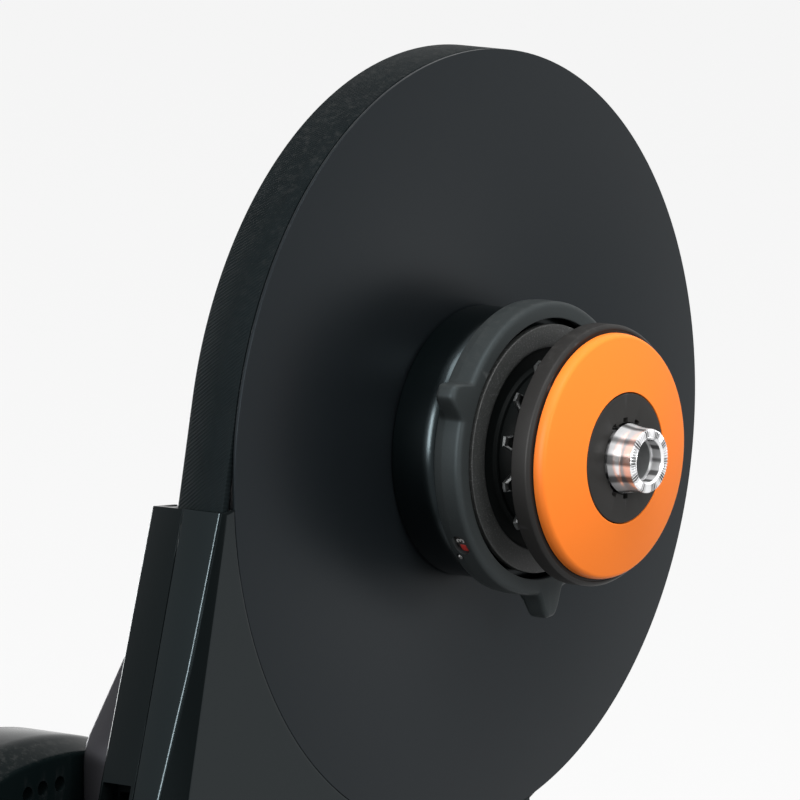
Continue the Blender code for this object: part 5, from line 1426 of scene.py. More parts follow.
@dataclass
class Adjuster:
    """Ring that is turned by hand to move the sprocket sideways, with its window and ball catch."""

    back: float = 23.6
    front: float = 33.1
    radius: float = 44.0
    tab_radius: float = 51.6
    lip_radius: float = 39.0
    flange_radius: float = 40.7
    index_wall: float = 1.3
    scale_back: float = 24.5
    scale_front: float = 31.0
    digit_size: float = 3.6
    mark_half: Point = (1.0, 1.6)
    tabs: int = 3
    tab_angle: float = 153.4
    tab_flat: float = 1.4
    tab_rise: float = 7.5
    tab_fall: float = 9.0
    tab_slope: float = 3.0
    window_angle: float = 214.0
    window_x: float = 28.3
    window_half: float = 1.1
    window_radius: float = 2.5
    digit_x: float = 27.4
    digit_turn: float = -0.5
    mark_turn: float = 3.8
    ball_angle: float = 220.7
    ball_x: float = 25.8
    ball_radius: float = 0.95
    count: int = 480
    places: int = 5
    place_angle: float = 30.0

    def tab_share(self, degrees: float) -> float:
        """How far the ring stands up into a finger tab at an angle, from 0 to 1.

        Args:
            degrees: The angle.

        Returns:
            The share.
        """
        pitch = 360.0 / self.tabs
        turn = (degrees - self.tab_angle + pitch / 2) % pitch - pitch / 2
        reach = self.tab_fall if turn > 0 else self.tab_rise
        part = (reach - abs(turn)) / (reach - self.tab_flat)
        part = min(1.0, max(0.0, part))
        return part * part * (3.0 - 2.0 * part)

    def section(self, degrees: float) -> Outline:
        """The ring's closed section at an angle; a tab slopes up from the back edge.

        Args:
            degrees: The angle.

        Returns:
            (x, radius) points.
        """
        share = self.tab_share(degrees)
        crest = self.radius + (self.tab_radius - self.radius) * share
        channel = self.flange_radius + 2 * GAP + self.index_wall
        slope_end = self.back + self.tab_slope
        return bent([
            (self.back, self.flange_radius + GAP, 0.2), (self.back, self.radius - 0.3, 0.5),
            (slope_end, crest, share + 0.2), (self.front, crest, 2.0), (self.front, self.lip_radius, 0.4),
            (self.front - 1.8, self.lip_radius, 0.3), (self.front - 1.8, channel, 0.1),
            (self.back + 0.6, channel, 0.1), (self.back + 0.6, self.flange_radius + GAP, 0.1),
        ], 0.3, 5)

    def radial(self, bm: bmesh.types.BMesh, x: float, degrees: float) -> bmesh.types.BMesh:
        """Turns a mesh made along x so that it points outwards at an angle.

        Args:
            bm: The mesh, which is changed.
            x: Where it stands along the hub.
            degrees: The angle that it points to.

        Returns:
            The same mesh.
        """
        spin = Matrix.Rotation(math.radians(degrees), 4, "X") @ Matrix.Rotation(math.radians(90), 4, "Z")
        bmesh.ops.transform(bm, matrix=Matrix.Translation((x, 0.0, 0.0)) @ spin, verts=bm.verts)
        return bm

    def make_ring(self) -> None:
        """The ring with its window and the ball's hole."""
        bm = bmesh.new()
        rows = []
        for index in range(self.count):
            degrees = 360.0 * index / self.count
            row = []
            for x, radius in self.section(degrees):
                y, z = polar(radius, degrees)
                row.append(bm.verts.new((x, y, z)))
            rows.append(row)
        weave(bm, rows, closed=True)
        ends = [((y, 0.0), self.window_radius, 1) for y in (-self.window_half, self.window_half)]
        band = wrap(ends, 9.0)
        outline = [(point.y, point.x) for point, _ in band]
        window = stacked([(self.radius - 3.0, outline), (self.radius + 0.05, outline),
                          (self.radius + 8.0, inset(outline, -5.0))])
        hole = peg(self.ball_radius + 0.2, self.radius - 1.2, self.radius + 9.0, 0.01, 24)
        cuts = [
            self.radial(window, self.window_x, self.window_angle),
            self.radial(hole, self.ball_x, self.ball_angle),
        ]
        piece("turning_ring", bm, Finishes.soft, "adjuster_set", ["adjuster_ring"], cut=cuts, smooth=40.0)

    def make_ball(self) -> None:
        """The ball catch that clicks into each place."""
        bm = bmesh.new()
        bmesh.ops.create_uvsphere(bm, u_segments=24, v_segments=16, radius=self.ball_radius)
        y, z = polar(self.radius - 0.3, self.ball_angle)
        bmesh.ops.translate(bm, vec=(self.ball_x, y, z), verts=bm.verts)
        piece("catch_ball", bm, Finishes.ball, "adjuster_set", ["index_ball"])

    def make_scale(self) -> None:
        """The scale under the window: a digit and a mark for each place."""
        inner = self.flange_radius + GAP
        outer = inner + self.index_wall
        back, front = self.scale_back, self.scale_front
        profile = [(back, inner), (back, outer), (front, outer), (front, inner)]
        body = lathe(bent(profile, 0.1, 2), ROUND)
        piece("place_scale", body, Finishes.scale_black, "freehub_set", ["index_ring"])
        for place in range(self.places):
            degrees = self.window_angle + (place - (self.places - 1) / 2) * self.place_angle
            self.make_digit(str(place + 1), degrees + self.digit_turn, outer)
            self.make_mark(place + 1, degrees + self.mark_turn, outer)

    def make_digit(self, text: str, degrees: float, radius: float) -> None:
        """A digit on the scale, curved to its radius.

        Args:
            text: The digit.
            degrees: Its angle on the scale.
            radius: Radius of the scale.
        """
        curve = bpy.data.curves.new(f"digit_{text}", "FONT")
        curve.body = text
        curve.size = self.digit_size
        curve.offset = 0.06
        curve.align_x = "CENTER"
        curve.align_y = "CENTER"
        curve.extrude = 0.05
        helper = bpy.data.objects.new("digit_helper", curve)
        bpy.context.scene.collection.objects.link(helper)
        bpy.context.view_layer.update()
        graph = bpy.context.evaluated_depsgraph_get()
        bm = bmesh.new()
        bm.from_mesh(bpy.data.meshes.new_from_object(helper.evaluated_get(graph)))
        bpy.data.objects.remove(helper)
        for vert in bm.verts:
            along, across, out = vert.co
            y, z = polar(radius + 0.06 + out, degrees - math.degrees(along / radius))
            vert.co = (self.digit_x - across, y, z)
        piece(f"place_digit_{text}", bm, Finishes.scale_white, "freehub_set")

    def make_mark(self, number: int, degrees: float, radius: float) -> None:
        """A coloured mark beside a digit.

        Args:
            number: The place that it belongs to.
            degrees: Its angle on the scale.
            radius: Radius of the scale.
        """
        y, z = self.mark_half
        bm = slab([(-y, -z), (y, -z), (y, z), (-y, z)], radius - 0.1, radius + 0.1, 0.05)
        self.radial(bm, self.digit_x + 0.2, degrees)
        piece(f"place_mark_{number}", bm, Finishes.scale_red, "freehub_set")

    def build(self) -> None:
        """Builds and dresses the adjuster."""
        self.make_ring()
        self.make_ball()
        self.make_scale()
        dress(Finishes.satin, "cog_carrier")


@dataclass
class ChainUnit:
    """Single sprocket between its two chain guides, with the front ring and the centre cap."""

    bore: float = CARRIER_RADIUS
    inner_radius: float = 37.2
    inner_back: float = 30.8
    inner_front: float = 32.9
    spacer_wall: float = 3.3
    teeth: int = 14
    chain_pitch: float = 12.7
    roller_radius: float = 3.97
    sprocket_x: float = 39.6
    sprocket_thickness: float = 2.0
    tooth_rise: float = 2.6
    tooth_bevel: float = 0.55
    tip_half: float = 2.6
    gap_half: float = 58.0
    outer_radius: float = 39.0
    outer_back: float = 48.1
    outer_front: float = 54.5
    ring_radius: float = 36.6
    ring_edge: float = 58.2
    ring_edge_radius: float = 35.9
    ring_top: float = 62.0
    ring_bore: float = 19.6
    ring_step: float = 59.7
    cap_back: float = 57.0
    cap_radius: float = 19.3
    cap_bore: float = 10.75
    notch_angles: tuple[float, ...] = (60.0, 90.0, 120.0, 240.0, 270.0, 300.0)
    notch_depth: float = 1.4
    notch_mouth: float = 6.0
    notch_half: float = 5.2
    spigot_radius: float = 14.0

    def make_guides(self) -> None:
        """The dished inner guide and the thick outer one."""
        bore, back, front, radius = self.bore, self.inner_back, self.inner_front, self.inner_radius
        inner = [
            (back, bore), (back, radius, 0.3), (front, radius, 0.45), (front, radius - 6.4, 0.6),
            (front - 1.2, radius - 7.8, 0.6), (front - 1.2, bore + 4.4, 0.3), (front, bore + 4.0, 0.2),
            (front, bore),
        ]
        # Faces deep inside the dish take the darker finish, which paints the shade there.
        piece("dished_guide", lathe(bent(inner, 0.2, 4), 160), Finishes.dish, "sprocket_set",
              ["inner_guide"], more=[Finishes.pit],
              second=lambda middle, normal: math.hypot(middle.y, middle.z) < radius - 7.0)
        back, front, outer_radius = self.outer_back, self.outer_front, self.outer_radius
        outer = [
            (back, bore), (back, bore + 4.0, 0.4), (front - 3.0, bore + 5.0, 0.8),
            (front - 3.0, outer_radius - 5.0, 0.8), (back, outer_radius, 0.5),
            (front - 0.9, outer_radius, 0.5),
            (front, outer_radius - 0.9, 0.35), (front, outer_radius - 1.5, 0.1),
            (front - 0.25, outer_radius - 1.6, 0.1), (front - 0.25, bore),
        ]
        body = lathe(bent(outer, 0.3, 4), FINE)
        piece("thick_guide", body, Finishes.guide, "sprocket_set", ["outer_guide"])

    def make_spacers(self) -> None:
        """The two plain tubes that hold the sprocket in the middle."""
        half = self.sprocket_thickness / 2 + GAP
        for name, back, front in (
            ("inner_spacer", self.inner_front + GAP, self.sprocket_x - half),
            ("outer_spacer", self.sprocket_x + half, self.outer_back - GAP),
        ):
            outside = self.bore + self.spacer_wall
            profile = [(back, self.bore), (back, outside, 0.3), (front, outside, 0.3), (front, self.bore)]
            # The spacers take the darker finish that paints the shade between the guides.
            piece(name + "_tube", lathe(bent(profile, 0.2, 3), ROUND), Finishes.pit, "sprocket_set", [name])

    def make_sprocket(self) -> None:
        """The sprocket: each tooth gap is an arc of the chain roller, and each tooth is chamfered."""
        pitch_radius = self.chain_pitch / 2 / math.sin(math.pi / self.teeth)
        tip = pitch_radius + self.tooth_rise
        step = 360.0 / self.teeth
        outline: Outline = []
        slim: Outline = []
        for index in range(self.teeth):
            low, high = step * index, step * (index + 0.5)
            centre = polar(pitch_radius, low)
            outline += arc(self.roller_radius, low + 180.0 + self.gap_half, low + 180.0 - self.gap_half,
                           14, centre)
            outline += [
                polar(tip, high - self.tip_half), polar(tip + 0.05, high), polar(tip, high + self.tip_half),
            ]
        for y, z in inset(outline, 0.3):
            radius = math.hypot(y, z)
            shrink = min(1.0, (tip - 0.9) / radius)
            slim.append((y * shrink, z * shrink))
        back = self.sprocket_x - self.sprocket_thickness / 2
        front = self.sprocket_x + self.sprocket_thickness / 2
        bore = circle(self.bore, 96)
        bm = bmesh.new()
        bevel = self.tooth_bevel
        loft(bm, [(back, slim), (back + bevel, outline), (front - bevel, outline), (front, slim)])
        loft(bm, [(back, bore), (front, bore)])
        flat(bm, back, [slim, bore])
        flat(bm, front, [slim, bore])
        piece("toothed_sprocket", bm, Finishes.black_steel, "sprocket_set", ["sprocket"], smooth=30.0)

    def make_front_ring(self) -> None:
        """The orange ring: a shallow cone with a rolled edge."""
        back = self.outer_front + GAP - 0.2
        profile = [
            (back, self.bore), (back, self.ring_radius, 0.2), (self.ring_edge - 1.7, self.ring_radius, 0.8),
            (self.ring_edge, self.ring_edge_radius, 1.3), (self.ring_top, self.ring_bore, 0.35),
            (self.ring_step, self.ring_bore, 0.1), (self.ring_step, self.bore, 0.1),
        ]
        body = lathe(bent(profile, 0.2, 5), FINE)
        piece("orange_ring", body, Finishes.orange, "sprocket_set", ["front_ring"])

    def make_cap(self) -> None:
        """The cap screwed into the freehub, with square notches round its bore for the key."""
        back, front, edge = self.cap_back, self.ring_top, 0.35
        notched: Outline = []
        before = self.notch_angles[-1] - 360.0
        for angle in self.notch_angles:
            count = max(4, round((angle - before) / 5.0))
            notched += arc(self.cap_bore, before + self.notch_mouth, angle - self.notch_mouth, count)
            bottom = self.cap_bore + self.notch_depth
            notched += arc(bottom, angle - self.notch_half, angle + self.notch_half, 4)
            before = angle
        outline = circle(self.cap_radius, 128)
        bore = circle(self.cap_bore - 0.4, 96)
        spigot = circle(self.spigot_radius, 96)
        inner = circle(self.spigot_radius - 1.4, 96)
        floor_x = front - 1.6
        spigot_back = back - 1.6
        bm = bmesh.new()
        face = rim(outline, front, 1, edge)
        mouth = rim(notched, front, 1, -0.12)
        loft(bm, [(back, outline)] + face)
        flat(bm, front, [face[-1][1], mouth[-1][1]])
        loft(bm, mouth[::-1] + [(floor_x, notched)])
        flat(bm, floor_x, [notched, bore])
        loft(bm, [(floor_x, bore), (back, bore)])
        flat(bm, back, [outline, spigot])
        loft(bm, [(back, spigot), (spigot_back, spigot)])
        flat(bm, spigot_back, [spigot, inner])
        loft(bm, [(spigot_back, inner), (back, inner)])
        flat(bm, back, [inner, bore])
        piece("notched_cap", bm, Finishes.hub_cap, "freehub_set", ["centre_cap"], smooth=32.0)

    def build(self) -> None:
        """Builds and dresses the sprocket unit."""
        self.make_guides()
        self.make_spacers()
        self.make_sprocket()
        self.make_front_ring()
        self.make_cap()


@dataclass
class Flywheel:
    """Flywheel on its shaft, and the brake inside it."""

    radius: float = 115.5
    bevel_deep: float = 10.5
    bevel_high: float = 4.0
    inner_radius: float = 90.0
    face: float = -37.4
    back: float = -71.4
    web: float = 6.0
    hub_radius: float = 20.0
    hub_face: float = -60.6
    shaft_radius: float = SHAFT_RADIUS
    shaft_front: float = 4.39
    nut_radius: float = 9.5
    nut_height: float = 5.5
    dish: float = 1.6
    hole_radius: float = 2.4
    hole_circle: float = 103.0
    hole_angles: tuple[float, ...] = (89.0, 93.5, 97.5)
    poles: int = 6
    pole_width: float = 16.0
    pole_spread: float = 22.0
    coil_wall: float = 4.0
    air_gap: float = 1.5
    boss_radius: float = BEARING_BOSS_RADIUS
    brake_back: float = -57.4
    brake_thickness: float = 16.0

    def make_wheel(self) -> None:
        """Heavy rim, thin web on the outside and a hub; three balance drillings."""
        bore = self.shaft_radius + GAP
        web_front = self.back + self.web
        profile = [
            (self.face, self.radius - self.bevel_high, 1.2),
            (self.face - self.bevel_deep, self.radius, 2.5), (self.back, self.radius, 3.0),
            (self.back, self.radius - 12.0, 2.0), (self.back + self.dish, self.radius - 15.0, 2.0),
            (self.back + self.dish, 34.0, 2.0), (self.back, 30.0, 2.0), (self.back, bore, 0.6),
            (self.hub_face, bore, 0.6), (self.hub_face, self.hub_radius, 0.8),
            (web_front, self.hub_radius + 2.0, 3.0),
            (web_front, self.inner_radius, 3.0), (self.face, self.inner_radius, 1.0),
        ]
        holes = [
            peg(self.hole_radius, self.face - 9.0, self.face + 5.0, 0.05, 32,
                polar(self.hole_circle, angle, FLYWHEEL_AXIS))
            for angle in self.hole_angles
        ]
        body = lathe(bent(profile, 0.5, 4), FINE, FLYWHEEL_AXIS)
        piece("heavy_wheel", body, Finishes.flywheel, "flywheel_set", ["flywheel"], cut=holes)

    def make_shaft(self) -> None:
        """The shaft's end with its nut and washer face."""
        shaft = peg(self.shaft_radius, self.back - 6.5, self.shaft_front, 0.7, SMALL, FLYWHEEL_AXIS)
        piece("turned_shaft", shaft, Finishes.steel, "flywheel_set", ["flywheel_shaft"])
        hexagon = circle(self.nut_radius, 6, FLYWHEEL_AXIS)
        nut_front = self.back - GAP
        nut_back = nut_front - self.nut_height
        hole = Bore(circle(self.shaft_radius + 0.12, SMALL, FLYWHEEL_AXIS), nut_back, nut_front)
        nut = slab(hexagon, nut_back, nut_front, 0.5, [hole])
        piece("hex_nut", nut, Finishes.bolt, "flywheel_set", ["flywheel_nut"])

    def make_brake(self) -> None:
        """The stator: laminated core, and a coil wound round each pole."""
        radius = self.inner_radius - self.air_gap
        root = self.boss_radius + 14.0
        shoe = radius - 4.0
        step = 360.0 / self.poles
        outline: Outline = []
        for index in range(self.poles):
            angle = step * index
            root_half = math.degrees(math.asin(self.pole_width / 2 / root))
            neck_half = math.degrees(math.asin(self.pole_width / 2 / shoe))
            outline.append(polar(root, angle - root_half, FLYWHEEL_AXIS))
            outline.append(polar(shoe, angle - neck_half, FLYWHEEL_AXIS))
            outline.append(polar(shoe + 1.0, angle - self.pole_spread, FLYWHEEL_AXIS))
            outline += arc(radius, angle - self.pole_spread, angle + self.pole_spread, 16, FLYWHEEL_AXIS)
            outline.append(polar(shoe + 1.0, angle + self.pole_spread, FLYWHEEL_AXIS))
            outline.append(polar(shoe, angle + neck_half, FLYWHEEL_AXIS))
            outline.append(polar(root, angle + root_half, FLYWHEEL_AXIS))
            outline += arc(root, angle + root_half + 4.0, angle + step - root_half - 4.0, 4, FLYWHEEL_AXIS)
        back, front = self.brake_back, self.brake_back + self.brake_thickness
        bore = Bore(circle(self.boss_radius + GAP, 96, FLYWHEEL_AXIS), back, front)
        core = slab(outline, back, front, 0.2, [bore])
        piece("brake_core", core, Finishes.core, "root", ["brake_stator"])
        for index in range(self.poles):
            coil = self.coil(index, back, front)
            piece(f"brake_coil_{index + 1}", coil, Finishes.winding, "root")

    def coil(self, index: int, back: float, front: float) -> bmesh.types.BMesh:
        """One winding: a rounded sleeve with a slight bulge round its pole.

        Args:
            index: Number of the pole.
            back: x of the core's back.
            front: x of its front.

        Returns:
            The mesh.
        """
        inner_half = self.pole_width / 2 + 0.2
        start, stop = self.boss_radius + 16.0, self.inner_radius - self.air_gap - 6.0
        bm = bmesh.new()
        rows = []
        sides = 40
        squareness = 0.35
        levels = 14
        half_x = (front - back) / 2
        for wall, order in ((0.0, range(levels + 1)), (self.coil_wall, range(levels, -1, -1))):
            for level in order:
                part = level / levels
                swell = wall * (0.86 + 0.14 * math.sin(math.pi * part)) + (0.15 if wall == 0 else 0.0)
                row = []
                for side in range(sides):
                    turn = math.tau * side / sides
                    wide, deep = [
                        math.copysign(abs(value) ** squareness, value)
                        for value in (math.cos(turn), math.sin(turn))
                    ]
                    across = wide * (inner_half + swell)
                    along = deep * (half_x + 0.2 + swell)
                    row.append(bm.verts.new((
                        (back + front) / 2 + along, start + (stop - start) * part, across
                    )))
                rows.append(row)
        weave(bm, rows, closed=True)
        spin = Matrix.Rotation(math.tau * index / self.poles, 4, "X")
        shift = Matrix.Translation((0.0, *FLYWHEEL_AXIS))
        bmesh.ops.transform(bm, matrix=shift @ spin, verts=bm.verts)
        return bm

    def build(self) -> None:
        """Builds and dresses the flywheel and brake."""
        self.make_wheel()
        self.make_shaft()
        self.make_brake()


@dataclass
class Covers:
    """Outer belt cover with the disc's round cut-out, and the guard behind it."""

    seam: float = -8.4
    guard_back: float = GUARD_BACK
    guard_wall: float = 1.8
    face: float = DISC_FACE
    disc_radius: float = PULLEY_RADIUS
    disc_gap: float = 0.05
    top: float = -6.0
    cover_top: float = -5.2
    guard_top: float = -8.2
    knee: float = -95.0
    corner: Point = (44.0, -160.0)
    screws: tuple[Point, ...] = ((30.0, -146.0), polar(25.8, 262.0, FLYWHEEL_AXIS), (-153.0, -118.0))
    bend: float = -48.0
    chamfer_least: float = 0.4
    chamfer_most: float = 6.0
    chamfer_rise: float = 0.033
    chamfer_extra: float = 0.045
    belt_room: float = 0.9
    pulley_room: float = 20.675
    arm_room: float = 10.0
    idler_room: float = 17.6
    guard_cut: float = 96.0
    screw_socket: float = 1.6
    boss_radius: float = BEARING_BOSS_RADIUS
    boss_front: float = BEARING_BOSS_FRONT
    screw_radius: float = 3.4
    screw_seat: float = -1.5

    def outline(self, rear_top: Point, knee: Point, end_radius: float, front_inset: float,
                inner_radius: float, top: float) -> Outline:
        """Outline of the cover at one depth.

        Args:
            rear_top: Top of the rear edge.
            knee: Lower end of the straight rear edge.
            end_radius: Radius round the flywheel shaft.
            front_inset: How far the front corner is moved in.
            inner_radius: Radius of the cut-out round the hub axis.
            top: z of the top edge at the cut-out.

        Returns:
            The outline, from the top of the rear edge down and round.
        """
        y, z = self.corner[0] - front_inset, self.corner[1] + front_inset
        rear_turn = self.tangent(knee, end_radius, 1)
        front_turn = self.tangent((y, z), end_radius, -1)
        points: Outline = []
        for part in range(10):
            spot = Vector(rear_top).lerp(Vector(knee), part / 10)
            points.append(tuple(spot))
        points.append(knee)
        points += arc(end_radius, rear_turn, front_turn, 30, FLYWHEEL_AXIS)
        points += [(y - 8.0, z + 1.5), (y - 3.0, z + 3.4), (y - 0.8, z + 5.6), (y, z + 9.0)]
        stop = 180.0 + math.degrees(math.asin(-top / inner_radius))
        points += arc(inner_radius, 285.0, stop, 70)
        return points

    def seam_outline(self, inner_radius: float, top: float) -> Outline:
        """Outline where the cover meets the guard, with each one's own cut-out and top edge."""
        return self.outline((-123.1, -5.4), (-150.0, self.knee), 30.2, 0.0, inner_radius, top)

    def tangent(self, point: Point, radius: float, side: int) -> float:
        """Angle on the flywheel shaft's circle where the line to a point outside touches it.

        Args:
            point: The point.
            radius: Radius of the circle.
            side: 1 or -1, for the two tangents.

        Returns:
            The angle in degrees.
        """
        reach = Vector(point) - Vector(FLYWHEEL_AXIS)
        toward = math.degrees(math.atan2(reach.y, reach.x))
        return (toward + side * math.degrees(math.acos(radius / reach.length))) % 360.0

    def belt_space(self, less: float, lean: float = 0.0) -> Outline:
        """The hollow that the belt, the small pulley and the tensioner need.

        Args:
            less: How far every side is moved inwards.
            lean: How far the lower end of the rear side is moved forward.

        Returns:
            The outline.
        """
        circles = [
            ((0.0, 0.0), self.disc_radius + self.belt_room, 1), (FLYWHEEL_AXIS, self.pulley_room, 1),
            (ARM_AXIS, self.arm_room, 1), (IDLER_AXIS, self.idler_room, 1),
        ]
        points = []
        for point, inward in wrap(circles, 2.0):
            low = min(1.0, max(0.0, -point.y / 180.0))
            points.append((point.x + lean * low * max(0.0, inward.x), point.y))
        return inset(points, less)

    def chamfer_x(self, z: float) -> float:
        """x of the cover's rear edge: its chamfer grows downwards."""
        depth = self.chamfer_least + self.chamfer_rise * (self.top - z)
        depth += self.chamfer_extra * max(0.0, self.bend - z)
        return self.face - min(self.chamfer_most, max(self.chamfer_least, depth))

    def softened(
        self, rings: list[list[Vector]], reaches: Sequence[float], steps: int = 3
    ) -> bmesh.types.BMesh:
        """A body through rings of points, with the edge along each inner ring rounded.

        Args:
            rings: Rings of equal length.
            reaches: How far each inner ring's rounding reaches.
            steps: Faces across a rounding.

        Returns:
            The mesh.
        """
        bm = bmesh.new()
        fine = [rings[0]]
        for index, reach in enumerate(reaches, 1):
            for number in range(steps + 1):
                t = number / steps
                ring = []
                for before, here, after in zip(rings[index - 1], rings[index], rings[index + 1]):
                    start = here + (before - here).normalized() * min(reach, (before - here).length * 0.45)
                    end = here + (after - here).normalized() * min(reach, (after - here).length * 0.45)
                    ring.append(start * (1 - t) ** 2 + here * 2 * t * (1 - t) + end * t ** 2)
                fine.append(ring)
        fine.append(rings[-1])
        rows = [[bm.verts.new(point) for point in ring] for ring in fine]
        weave(bm, rows)
        for row in (rows[0], rows[-1]):
            edges = [bm.edges.get((row[index - 1], row[index])) for index in range(len(row))]
            bmesh.ops.triangle_fill(bm, use_beauty=True, edges=edges, normal=(1.0, 0.0, 0.0))
        bmesh.ops.triangulate(bm, faces=bm.faces)
        return bm

    def ring_at(self, outline: Outline, level: float) -> list[Vector]:
        """The outline as points at one x."""
        return [Vector((level, y, z)) for y, z in outline]

    def make_cover(self) -> None:
        """The outer cover."""
        inner = self.disc_radius + self.disc_gap
        seam = self.seam_outline(inner, self.cover_top)
        face = self.outline((-120.6, -6.1), (-141.6, self.knee), 24.0, 6.0, inner, self.cover_top)
        chamfer = [Vector((self.chamfer_x(z), y, z)) for y, z in seam]
        rings = [
            self.ring_at(inset(seam, 1.0), self.seam), self.ring_at(seam, self.seam), chamfer,
            self.ring_at(face, self.face), self.ring_at(inset(face, 1.0), self.face),
        ]
        hollow = stacked([
            (self.guard_back + self.guard_wall, self.belt_space(0.9)), (0.0, self.belt_space(0.9)),
            (3.4, self.belt_space(0.9, 9.0)), (4.4, self.belt_space(1.9, 9.0)),
        ])
        seats = []
        heads = []
        for spot in self.screws:
            seats.append(peg(self.screw_radius + GAP, self.screw_seat, self.face + 2.0, 0.05, 40, spot))
            socket = Step(circle(self.screw_socket, 6, spot), self.screw_seat + 1.0)
            heads.append(slab(circle(self.screw_radius - GAP, 40, spot), self.screw_seat - 1.0,
                              self.screw_seat + 2.4, 0.35, front_steps=[socket]))
        body = self.softened(rings, (0.12, 1.0, 0.45))
        # Faces of the rear chamfer take the darker copy of the plastic, which paints their shade.
        piece("outer_cover", body, Finishes.cover, "root", ["belt_cover"], cut=[hollow] + seats,
              smooth=30.0, more=[Finishes.chamfer],
              second=lambda middle, normal: 0.6 < normal.x < 0.996 and normal.y < 0.0 and middle.y < -110.0)
        for number, head in enumerate(heads):
            piece(f"cover_screw_{number + 1}", head, Finishes.bolt, "root")

    def make_guard(self) -> None:
        """The guard between the frame and the cover."""
        back = self.outline((-121.2, -6.0), (-146.6, -85.0), 29.6, 0.5, self.guard_cut, self.guard_top)
        seam = self.seam_outline(self.guard_cut, self.guard_top)
        front = self.seam - GAP
        rings = [
            self.ring_at(inset(back, 1.0), self.guard_back), self.ring_at(back, self.guard_back),
            self.ring_at(seam, front), self.ring_at(inset(seam, 1.0), front),
        ]
        low = self.guard_back + self.guard_wall
        belt_edge = -12.9
        hollow = stacked([
            (low, self.belt_space(3.5)), (belt_edge - 0.2, self.belt_space(3.5)),
            (belt_edge, self.belt_space(0.9)), (0.0, self.belt_space(0.9)),
        ])
        fall = self.top - self.guard_top
        lid_low, lid_high = self.top - 2.2, self.top - 0.25
        slope = [(-120.4, lid_high), (-120.8, lid_low), (-96.8, lid_low - fall), (-96.2, lid_high - fall)]
        lid = stacked([(x, slope) for x in (self.guard_back + 0.6, belt_edge - 0.3)])
        step = [(-111.5, 0.0), (-111.5, -7.4), (-88.0, -9.8), (-88.0, 0.0)]
        shelf = stacked([(x, step) for x in (self.guard_back - 2.0, self.seam + 2.0)])
        boss = peg(self.boss_radius + 2 * GAP, self.guard_back - 1.0, self.boss_front + GAP, 0.05, 96,
                   FLYWHEEL_AXIS)
        pivot = peg(3.9, self.guard_back - 1.0, low + 1.0, 0.05, 32, ARM_AXIS)
        piece("inner_guard", self.softened(rings, (0.8, 0.12)), Finishes.satin, "root", ["belt_guard"],
              cut=[hollow, boss, pivot, self.rear_slot(), shelf.copy()], smooth=30.0)
        piece("guard_lid", lid, Finishes.satin, "root", smooth=30.0, cut=[shelf])
        for number, spot in enumerate(GUARD_SCREWS):
            head = slab(circle(self.screw_radius, 40, spot), low - 0.2, low + 2.4, 0.35,
                        front_steps=[Step(circle(self.screw_socket, 6, spot), low + 1.2)])
            piece(f"guard_screw_{number + 1}", head, Finishes.bolt, "root")

    def rear_slot(self) -> bmesh.types.BMesh:
        """Recess in the guard's rear face, low down beside the flywheel."""
        outline = [(-160.0, -84.0), (-160.0, -116.0), (-143.0, -116.0), (-139.0, -84.0)]
        return stacked([(self.guard_back + 0.9, outline), (self.seam - 1.6, outline)])

    def build(self) -> None:
        """Builds and dresses the covers."""
        self.make_cover()
        self.make_guard()


